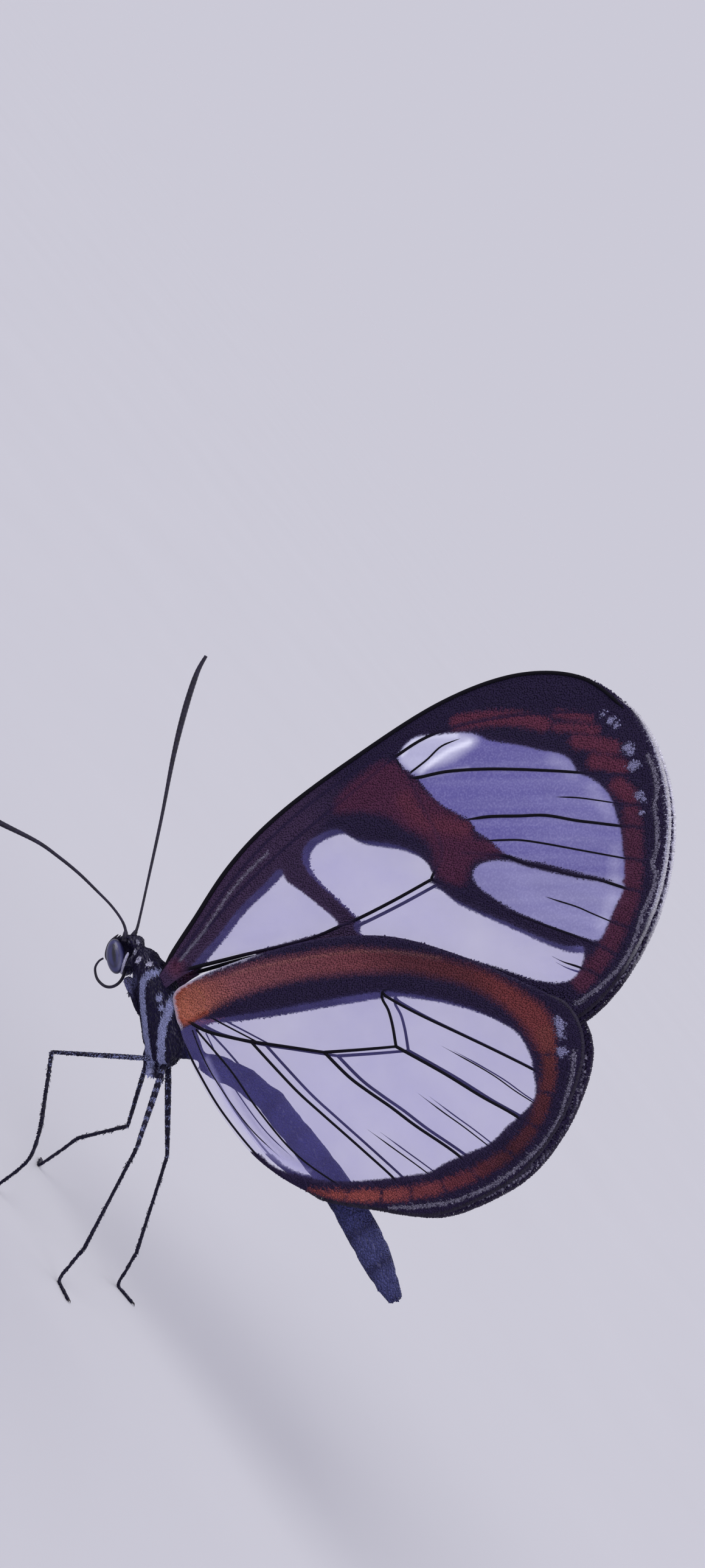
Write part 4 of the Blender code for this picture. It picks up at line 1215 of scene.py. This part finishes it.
def paint_body(p, lot):
    """Colour at rows of body points: dark, with pale stripes and spots on the sides, and a slate abdomen."""
    tint = np.tile(BODY_DARK, (len(p), 1))
    tint = blend(tint, ABDOMEN_SLATE, soft(p[:, 0] + 0.5 * p[:, 2] - 2.4, 0.8))
    tint = blend(tint, ABDOMEN_TIP, soft(p[:, 0] - 13.5, 4.0))
    rings = 0.5 + 0.5 * np.cos((p[:, 0] - RING_START) * 2 * math.pi / RING_PITCH)
    tint = blend(tint, BODY_DARK, 0.55 * rings ** 6 * (p[:, 0] > 2.0))
    stripe, spot = body_marks(p + lot.normal(0, 0.02, p.shape))
    tint = blend(tint, THROAT_GREY, 0.6 * soft(0.4 - np.hypot(p[:, 0] + 3.9, p[:, 2] - 2.1), 0.4))
    tint = blend(tint, BODY_PALE, stripe)
    return blend(tint, WHITE, spot)


def skin_shade(f, grain):
    return f.mix((grain * 0.8).clamp(), f.attribute("tint", "Color"), (0.01, 0.008, 0.02))


body_finish = grained("body_skin", skin_shade, 0.6, scale=4000.0, detail=4.0, strength=0.5, distance=0.00004)
print("made", body_finish.name)

# %% Join the trunk and shape its skin
TRUNK = ("prothorax", "mesothorax", "metathorax", "abdomen", "head")
MIDDLE_LUMPS = (((-4.75, 0.0, 3.15), (0.55, 0.6, 0.6), 0.0), ((1.65, 0.0, 2.60), (0.5, 0.5, 0.42), 0.0))
SIDE_LUMPS = (
    ((-4.80, 0.55, 2.45), (0.26, 0.34, 0.62), -0.5),
    ((0.20, 0.50, 0.12), (0.95, 0.28, 0.36), 0.5),
    ((0.95, 0.34, 0.35), (0.70, 0.26, 0.40), 0.5),
    ((-3.3, 0.6, 1.8), (0.38, 0.32, 0.55), 0.5),
    ((-3.3, 0.9, 3.35), (0.62, 0.4, 0.40), 0.3),
    ((-1.3, 1.0, 3.1), (0.5, 0.36, 0.4), 0.3),
)
lumps = [*MIDDLE_LUMPS,
         *(((x, sign * y, z), size, tilt) for sign in (-1, 1) for (x, y, z), size, tilt in SIDE_LUMPS)]
trunk = skin_from("skin_body", TRUNK, lumps, body_finish)
REAR_EDGE = np.array((-0.1, 0.0, 2.75))
REARWARD = np.array((0.816, 0.0, 0.578))
SOLID_AT = (1.95, 3.2, 5.0, 7.2, 9.4, 11.6, 13.8, 15.8, 17.4, 18.5)
SOLID_MIDDLE = (2.60, 3.25, 4.02, 4.55, 4.80, 4.85, 4.65, 4.30, 3.95, 3.80)
SOLID_HALF = (0.48, 0.76, 0.82, 0.86, 0.88, 0.90, 0.90, 0.84, 0.62, 0.36)
SLIM_AT = (2.5, 4.0, 6.0, 9.4, 11.6, 13.8, 15.8, 17.4, 18.5)
SLIM_MIDDLE = (2.90, 3.80, 4.38, 4.60, 4.65, 4.50, 4.25, 3.95, 3.80)
SLIM_HALF = (0.60, 0.62, 0.68, 0.70, 0.72, 0.76, 0.80, 0.58, 0.34)


def trimmed(p):
    """Draws the lower rear of the thorax in to a slanting edge, as far up as the waist."""
    past = np.clip((p - REAR_EDGE) @ REARWARD, 0, None)
    low = soft(2.05 + 0.15 * (p[:, 0] - 1.0) - p[:, 2], 0.5) * soft(1.7 - p[:, 0], 0.6)
    return p - REARWARD * (0.8 * past * low)[:, None]


def slimmed(p):
    """Gives the abdomen its slimmer, straighter shape inside the solid one."""
    x, y, z = p.T
    share = (z - np.interp(x, SOLID_AT, SOLID_MIDDLE)) / np.interp(x, SOLID_AT, SOLID_HALF)
    slim = np.interp(x, SLIM_AT, SLIM_MIDDLE) + share * np.interp(x, SLIM_AT, SLIM_HALF)
    abdomen = soft(x - 3.4, 2.4)
    return np.stack([x, y * (1 - 0.15 * abdomen), z + (slim - z) * abdomen], 1)


shaped = slimmed(trimmed(points_of(trunk)[0]))
trunk.data.vertices.foreach_set("co", place(shaped).astype(np.float32).ravel())
trunk.data.update()
set_tint(trunk, paint_body(points_of(trunk)[0], np.random.default_rng(41)))
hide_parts(*TRUNK)
print("body skin:", len(trunk.data.polygons), "faces")

# %% [markdown]
# ## Body scales and hair
# The thorax wears hair-like scales that lie backwards, and the abdomen flat shingled ones. They are the
# same wedge as on the wings, narrower and longer on the thorax, set at random points of the skin and combed
# towards the tail.

# %% Points spread over a skin


def scatter(piece, step, lot):
    """Points and normals spread evenly over a mesh, about one in each step by step."""
    piece.data.calc_loop_triangles()
    tris = rows_of(piece.data.loop_triangles, "vertices", np.int32)
    p, n = points_of(piece)
    a, b, c = p[tris[:, 0]], p[tris[:, 1]], p[tris[:, 2]]
    area = np.linalg.norm(np.cross(b - a, c - a), axis=1) / 2
    count = int(area.sum() / step ** 2)
    pick = np.searchsorted(np.cumsum(area), (np.arange(count) + lot.random(count)) / count * area.sum())
    pick = np.clip(pick, 0, len(tris) - 1)
    u, v = lot.random(count), lot.random(count)
    flip = u + v > 1
    u[flip], v[flip] = 1 - u[flip], 1 - v[flip]
    spots = a[pick] + (b - a)[pick] * u[:, None] + (c - a)[pick] * v[:, None]
    return spots, unit(n[tris[pick, 0]] + n[tris[pick, 1]] + n[tris[pick, 2]])


print("spreading helper ready")

# %% A coat of scales
coat_finish = scale_finish("body_scales", 0.65)
COAT_SWAY = 0.16
MIDDLE_AT = (-5.5, -3, 2, 7, 18)
MIDDLE_HEIGHT = (2.7, 2.9, 2.6, 4.6, 3.8)


def build_coat(name, source, step, paint, size_at, lie, seed, only=None):
    """Scales over a skin. size_at(points, lot) gives length, width and rise, and lie(points) the combing
    direction. only(points) keeps those where it is above a half."""
    lot = np.random.default_rng(seed)
    p, normal = scatter(source, step, lot)
    if only is not None:
        keep = only(p) > 0.5
        p, normal = p[keep], normal[keep]
    sizes = size_at(p, lot)
    tint = paint(p, lot) * lot.uniform(0.7, 1.35, len(p))[:, None]
    ahead = lie(p) + lot.normal(0, COAT_SWAY, (len(p), 3))
    ahead = unit(ahead - normal * np.sum(ahead * normal, axis=1)[:, None])
    part = wedges(p, ahead, np.cross(normal, ahead), normal, *sizes, tint)
    low, high = p[:, 0].min(), p[:, 0].max()
    turn = np.arctan2(p[:, 1], p[:, 2] - np.interp(p[:, 0], MIDDLE_AT, MIDDLE_HEIGHT))
    uv = np.stack([0.01 + 0.98 * (p[:, 0] - low) / (high - low), 0.5 + 0.49 * turn / math.pi], 1)
    return scale_piece(name, [part], uv, coat_finish)


print("made", coat_finish.name)

# %% Comb the coat over the body


def body_hair_size(p, lot):
    """Long and narrow on the thorax, shorter on the head, and broad on the abdomen."""
    thorax = (p[:, 0] < 1.8).astype(float)
    head = (p[:, 0] < -4.6).astype(float)
    length = 0.20 + 0.04 * thorax - 0.08 * head
    return length * lot.uniform(0.8, 1.2, len(p)), 0.12 - 0.06 * thorax, 0.025 + 0.025 * thorax - 0.01 * head


def mark_size(p, lot):
    """Short broad scales that stand a little over the dark coat."""
    size = lot.uniform(0.8, 1.2, len(p))
    return 0.15 * size, 0.075 * size, 0.05


def combed_back(p):
    """Backwards along the body, following the arch of the abdomen."""
    slope = np.interp(p[:, 0], (-4, 1.5, 2.5, 7, 12, 18), (-0.5, -0.3, 0.5, 0.2, -0.1, -0.35))
    return np.stack([np.ones(len(p)), np.zeros(len(p)), slope], 1)


body_coat = build_coat("coat_body", trunk, 0.088, paint_body, body_hair_size, combed_back, 43)
pale_coat = build_coat("coat_marks", trunk, 0.055, paint_body, mark_size, combed_back, 44,
                       only=lambda p: np.max(body_marks(p), axis=0))
print("coat triangles:", len(body_coat.data.polygons), len(pale_coat.data.polygons))

# %% [markdown]
# ## Eyes
# A compound eye is an egg-shaped dome of tiny lenses. At this size the lenses only show as a fine grain, so
# they are a bump pattern. The dark patch that seems to follow the viewer is left as a fixed soft shade in
# the middle.

# %% The finish of the eyes


def eye_finish():
    f = Finish("compound_eye")
    cells = f.node("TexVoronoi", {}, {"Vector": f.place_on_object(), "Scale": 24000.0})
    shade = f.attribute("shade")
    mottle = f.noise(2600.0, 2.0)
    colour = f.mix((shade + mottle * 0.4 - 0.15).clamp(), linear(50, 50, 98), linear(8, 7, 26))
    bump = f.bump(cells, 0.4, 0.00002)
    return f.finish(f.principled(Base_Color=colour, Roughness=0.24, Normal=bump, Coat_Weight=0.25,
                                 Coat_Roughness=0.1))


eye_gloss = eye_finish()
print("made", eye_gloss.name)

# %% Two eyeballs
SIDES = (("left", -1), ("right", 1))
HEAD_UP = np.array((-0.86, 0.0, 0.51))
HEAD_FORWARD = np.array((-0.51, 0.0, -0.86))
EYE_CENTRE = np.array((-5.41, 0.78, 2.15))
EYE_HALF = np.array((0.51, 0.44, 0.96))
for side, sign in SIDES:
    bm = bmesh.new()
    bmesh.ops.create_uvsphere(bm, u_segments=48, v_segments=32, radius=1.0)
    ball = np.array([v.co[:] for v in bm.verts])
    faces = sorted([v.index for v in face.verts] for face in bm.faces)
    bm.free()
    v = EYE_CENTRE * (1, sign, 1) + (ball * EYE_HALF) @ np.array([HEAD_FORWARD, (0, sign, 0), HEAD_UP])
    tris = [(f[0], *f[k:k + 2]) for f in faces for k in range(1, len(f) - 1)]
    if sign < 0:
        tris = [t[::-1] for t in tris]
    eye = make_piece("eyeball_" + side, v, tris, eye_gloss)
    # Painted shade on the eye: a dark slit in the middle, a dark ring round it and darker edges.
    slit = np.hypot(ball[:, 0] * 2.2 + 0.25, ball[:, 2] * 0.9 - 0.05)
    ring = np.hypot(ball[:, 0], ball[:, 2])
    shade_ring = 0.5 * np.exp(-((ring - 0.62) / 0.09) ** 2)
    set_number(eye, "shade", np.clip(1.7 - slit * 2.4, 0, 1) + shade_ring + 0.7 * soft(ring - 0.9, 0.12))
    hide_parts("eye_" + side)
print("eyes done")

# %% [markdown]
# ## Feelers, tongue, palps and legs
# These are all thin tubes that change width along their length. A list of places gives each its path and a
# short list of radii its shape. Rings on the feet, spines on the shins and two hooked claws at each foot
# are small additions that make them read as an insect's limbs.

# %% Limbs as tapered tubes


def limb_finish(name, colour, pale, roughness):
    return grained(name, lambda f, grain: f.mix((grain * 1.8 - 0.6).clamp(), colour, pale), roughness, 0.3)


limb_dark = limb_finish("limb_chitin", linear(15, 11, 26), linear(40, 34, 60), 0.5)
claw_horn = limb_finish("claw_horn", linear(16, 10, 14), linear(40, 26, 30), 0.25)
GROUND = -SHIFT[2]


def held_up(line, radius):
    """Keeps the middle line of a foot its own radius above the floor."""
    line[:, 2] = np.maximum(line[:, 2], GROUND + radius * 1.02)
    return line


def radii_along(line, radii):
    """A radius for each point of a line, from a few spread evenly over it."""
    return np.interp(np.linspace(0, 1, len(line)), np.linspace(0, 1, len(radii)), radii)


def tapered(path, radii, sides=12, step=0.08, flatten=1.0):
    """A closed tube along a smooth path, with radii spread evenly over it."""
    line = held_up(smooth(path, step), radii[-1])
    return sweep(line, radii_along(line, radii), sides, flatten)


def ringed(path, radii, pitch, depth, sides=12):
    """The same with fine rings, as on a feeler."""
    line = held_up(smooth(path, pitch / 4), radii[-1])
    beat = np.abs(np.sin(np.arange(len(line)) * math.pi / 4))
    return sweep(line, radii_along(line, radii) * (1 - depth * (1 - beat)), sides)


def mirrored(path, sign):
    """A path of the insect's right side, moved to the left one where the sign is -1."""
    return [(x, sign * y, z) for x, y, z in path]


def limb(name, parts, slot, *nodes):
    """A dark limb that takes the place of the named solids."""
    piece = make_piece(name, *join(parts), limb_dark)
    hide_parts(*nodes)
    return piece


print("limb finishes:", limb_dark.name, "and", claw_horn.name)

# %% Feelers
LEFT_ANTENNA = ((-5.85, -0.36, 2.95), (-6.28, -0.40, 3.33), (-6.9, -0.48, 3.52), (-7.87, -0.66, 3.54),
                (-8.97, -1.0, 3.42), (-10.2, -1.6, 3.28), (-11.4, -2.3, 3.04), (-12.6, -3.0, 2.70),
                (-14.3, -4.2, 1.90), (-15.6, -4.95, 1.30), (-16.9, -5.6, 0.75), (-18.0, -5.97, 0.35))
RIGHT_ANTENNA = ((-5.85, 0.36, 2.95), (-6.15, 0.40, 3.65), (-6.8, 0.54, 4.38), (-8.1, 0.80, 5.72),
                 (-10.6, 1.35, 8.25), (-13.2, 1.85, 10.8), (-15.0, 2.15, 12.8), (-16.3, 2.35, 14.5),
                 (-16.8, 2.43, 15.5))
ANTENNA_RADII = (0.10, 0.075, 0.075, 0.085, 0.095, 0.10, 0.115, 0.14, 0.17, 0.185, 0.17, 0.10)
for side, path in (("left", LEFT_ANTENNA), ("right", RIGHT_ANTENNA)):
    parts = [ringed(path, ANTENNA_RADII, 0.24, 0.06), tapered(path[:2], (0.20, 0.18, 0.11), 14, 0.06)]
    limb("feeler_" + side, parts, "limb", "antenna_" + side)
print("feelers done")

# %% Palps and tongue
PALP = ((-5.38, 0.20, 1.68), (-5.82, 0.20, 1.66), (-6.17, 0.21, 1.98), (-6.38, 0.22, 2.36),
        (-6.45, 0.22, 2.85))
PALP_RADII = (0.15, 0.17, 0.17, 0.15, 0.09, 0.03)
for side, sign in SIDES:
    palp = tapered(mirrored(PALP, sign), PALP_RADII, 12, 0.06, 0.8)
    limb("palps_" + side, [palp], "chitin", "palp_" + side)

TONGUE = ((-4.72, 0.0, 2.05), (-4.42, 0.0, 1.62), (-4.32, 0.0, 1.18), (-4.43, 0.0, 0.78),
          (-4.74, 0.0, 0.51), (-5.28, 0.0, 0.43), (-5.80, 0.0, 0.66), (-5.99, 0.0, 1.04),
          (-5.97, 0.0, 1.36))
limb("tongue", [tapered(TONGUE, (0.10, 0.09, 0.085, 0.08, 0.07, 0.055), 10, 0.05)], "limb", "proboscis")
print("palps and tongue done")

# %% White cheek bars
CHEEK_BAR = ((-5.14, 0.80, 2.86), (-4.98, 0.87, 2.62), (-4.82, 0.89, 2.37), (-4.66, 0.86, 2.12),
             (-4.52, 0.76, 1.90))
CHEEK_RADII = (0.02, 0.055, 0.065, 0.06, 0.045, 0.02)


def white_coat(p, lot):
    return np.tile(WHITE, (len(p), 1))


def cheek_scale_size(p, lot):
    return 0.09, 0.035, 0.015


ridges = join([tapered(mirrored(CHEEK_BAR, sign), CHEEK_RADII, 10, 0.04) for _, sign in SIDES])
bar = make_piece("cheek_bars", *ridges, coat_finish)
set_tint(bar, np.tile(WHITE, (len(ridges[0]), 1)))
build_coat("coat_cheek_bars", bar, 0.03, white_coat, cheek_scale_size, combed_back, 45)
print("cheek bars done")

# %% Paths of the legs
FOOT_RADIUS = 0.085
FLOOR = GROUND + FOOT_RADIUS
LEGS = {
    "mid_left": ((0.35, -0.5, 0.6), (-2.8, -3.0, -3.2), (0.3, -4.0, -5.7), (1.4, -4.3, -7.2),
                 (1.55, -4.6, FLOOR), (2.0, -5.6, FLOOR)),
    "mid_right": ((-0.6, 0.5, 0.8), (1.6, 3.2, -3.6), (0.2, 4.1, -6.6), (0.1, 4.4, -8.0),
                  (-0.1, 4.8, FLOOR), (-0.5, 5.8, FLOOR)),
    "hind_left": ((0.75, -0.22, 1.06), (4.1, -2.6, -2.4), (6.9, -3.8, -7.5), (7.2, -4.0, -8.6),
                  (7.6, -4.3, FLOOR), (8.7, -4.7, FLOOR)),
    "hind_right": ((0.75, 0.23, 1.05), (4.4, 2.7, -2.6), (7.4, 3.9, -7.4), (7.8, 4.1, -8.5),
                   (8.2, 4.5, FLOOR), (9.3, 5.0, FLOOR)),
}
FORELEG = ((-3.6, 0.45, 2.15), (-4.05, 0.50, 1.92), (-3.8, 0.52, 1.80), (-3.2, 0.52, 1.70),
           (-2.6, 0.50, 1.50), (-2.15, 0.46, 1.36))
FORELEG_RADII = (0.14, 0.17, 0.19, 0.18, 0.15, 0.08)
print("walking legs:", ", ".join(LEGS))

# %% Claws and spines
CLAW_BENDS = ((0.12, 0.06, 0.03), (0.22, 0.10, -0.04))
CLAW_RADII = (0.045, 0.035, 0.01)
SPINE_BENDS = ((0.07, 0.06), (0.10, 0.17))
SPINE_RADII = (0.018, 0.014, 0.004)


def claw_pair(tip, way):
    """Two hooked claws at the end of a foot."""
    way = way / np.linalg.norm(way)
    across = np.cross(way, (0, 0, 1))
    across /= np.linalg.norm(across)
    parts = []
    for lean in (-1, 1):
        bends = [tip + way * on + across * lean * aside + (0, 0, up) for on, aside, up in CLAW_BENDS]
        parts.append(tapered([tip, *bends], CLAW_RADII, 6, 0.04))
    return parts


def spines(a, b, radius, count, lot):
    """Short spines along a shin."""
    way = (b - a) / np.linalg.norm(b - a)
    parts = []
    for k in range(count):
        base = a + (b - a) * (k + lot.random()) / count
        around = lot.normal(0, 1, 3)
        around -= way * (around @ way)
        around /= np.linalg.norm(around)
        root = base + around * radius * 0.6
        bends = [root + around * out + way * on for out, on in SPINE_BENDS]
        parts.append(tapered([root, *bends], SPINE_RADII, 5, 0.06))
    return parts


print("claw length:", round(math.hypot(*CLAW_BENDS[-1]), 2), "mm")

# %% Scales of the legs
LEG_DARK = linear(30, 27, 56)
LEG_PALE = linear(150, 156, 205)


def leg_scale_size(p, lot):
    size = lot.uniform(0.8, 1.2, len(p))
    return 0.12 * size, 0.06 * size, 0.014


def leg_painter(root, knee, beaded):
    """A painter of a leg's scales: bluish white on the thigh, fading to the knee, in beads on a hind leg,
    and fewer on the inner side, which is painted shade.
    """
    def paint(p, lot):
        way = knee - root
        share = ((p - root) @ way) / (way @ way)
        pale = np.clip(0.95 - 0.75 * share, 0, 1) * (share < 1.02)
        if beaded:
            pale = 0.95 * soft(np.sin(share * 58 + lot.normal(0, 0.3, len(p))) - 0.1, 0.5) * (share < 1.0)
        # The pale scales are real, but there are fewer on the inner side as painted shade: they show on the
        # lit, outer side.
        facing = np.clip(0.35 + 0.8 * np.sign(root[1]) * (p[:, 1] - root[1] - way[1] * share) / 0.15, 0, 1)
        tint = np.tile(LEG_DARK, (len(p), 1))
        pale = (lot.random(len(p)) < pale * (0.35 + 0.65 * facing)).astype(float)
        return blend(tint, LEG_PALE, pale)
    return paint


def foreleg_shade(p):
    """Grey under the head and dark towards the end, like the breast that it lies against."""
    return blend(np.tile(BODY_DARK, (len(p), 1)), THROAT_GREY, soft(-3.3 - p[:, 0], 0.6))


print("leg colours ready")

# %% Legs
THIGH_RADII = {"mid": (0.11, 0.125, 0.115, 0.10, 0.085), "hind": (0.14, 0.165, 0.155, 0.13, 0.095)}
SHIN_RADII = (0.09, 0.08, 0.075, 0.08, 0.095)
FOOT_RADII = (0.09, 0.085, 0.08, 0.08, FOOT_RADIUS)
for name, places in LEGS.items():
    lot = np.random.default_rng(len(name) * 7)
    root, knee, ankle, instep, toe, tip = (np.array(q, float) for q in places)
    thigh = tapered([root, root + (knee - root) * 0.5, knee], THIGH_RADII[name.split("_")[0]], 12, 0.12)
    shin = tapered([knee, ankle], SHIN_RADII, 12, 0.12)
    foot = ringed([ankle, instep, toe, tip], FOOT_RADII, 0.62, 0.22)
    parts = [thigh, shin, foot] + spines(knee, ankle, 0.08, 22, lot)
    leg = limb("leg_" + name, parts, "limb", "femur_" + name, "tibia_" + name, "tarsus_" + name)
    claws = make_piece("claws_" + name, *join(claw_pair(tip, tip - toe)), claw_horn)
    painter = leg_painter(root, knee, name.startswith("hind"))
    down = (ankle - root) / np.linalg.norm(ankle - root)
    build_coat("coat_leg_" + name, leg, 0.062, painter, leg_scale_size,
               lambda p: np.tile(down, (len(p), 1)), 51)
for side, sign in SIDES:
    arm = limb("folded_foreleg_" + side, [tapered(mirrored(FORELEG, sign), FORELEG_RADII)], "limb",
               "foreleg_" + side)
    build_coat("coat_foreleg_" + side, arm, 0.055, lambda p, lot: foreleg_shade(p), leg_scale_size,
               lambda p: np.tile((0.87, 0.0, -0.5), (len(p), 1)), 52)
print("legs done")

# %% [markdown]
# ## Floor and light
# A plain pale floor runs to the horizon under a sky of the same brightness, so that no edge shows whichever
# way the camera is rolled. Lamps near the insect would leave a bright pool on the floor. Wide suns light
# all of it evenly, and their broad discs still give soft shadows and a gloss on the panes.

# %% Sky and suns
SKY = np.array((0.60, 0.59, 0.68))
SUN_SHARE = 0.5
SUNS = (
    ("key_sun", (-0.55, -0.75, 0.85), 0.50, 40, (1.0, 0.99, 0.98)),
    ("side_sun", (0.85, -0.45, 0.55), 0.20, 60, (0.95, 0.95, 1.0)),
    ("back_sun", (0.25, 0.90, 0.60), 0.30, 50, (0.96, 0.96, 1.0)),
)
scene = bpy.context.scene
scene.view_settings.view_transform = "Standard"
world = bpy.data.worlds.new("studio_sky")
world.use_nodes = True
world.node_tree.nodes["Background"].inputs["Color"].default_value = (*SKY, 1.0)
scene.world = world
sun_light = SUN_SHARE / (1 - SUN_SHARE) * SKY.mean()
sun_colour = sum(share * np.array(colour) for _, _, share, _, colour in SUNS) * sun_light
for name, towards, share, spread, colour in SUNS:
    light = bpy.data.lights.new(name, "SUN")
    towards = Vector(towards).normalized()
    light.energy = sun_light * math.pi * share / towards.z
    light.angle = math.radians(spread)
    light.color = colour
    sun = bpy.data.objects.new(name, light)
    scene.collection.objects.link(sun)
    sun.matrix_world = towards.to_track_quat("Z", "Y").to_matrix().to_4x4()
print("sun light", round(sun_light, 2))

# %% Floor
floor_paint = Finish("floor_paint")
floor_grey = SKY / (SKY + sun_colour)
floor_colour = floor_paint.mix(floor_paint.noise(40.0, 3.0), floor_grey * 0.98, floor_grey * 1.02)
floor_material = floor_paint.finish(floor_paint.principled(Base_Color=floor_colour, Roughness=0.9,
                                                           Specular_IOR_Level=0.0))
FLOOR_HALF = 60.0
mesh = bpy.data.meshes.new("studio_floor")
corners = [(x * FLOOR_HALF, y * FLOOR_HALF, 0) for x, y in ((-1, -1), (1, -1), (1, 1), (-1, 1))]
mesh.from_pydata(corners, [], [(0, 1, 2, 3)])
mesh.materials.append(floor_material)
floor = bpy.data.objects.new("studio_floor", mesh)
scene.collection.objects.link(floor)
print("studio ready")
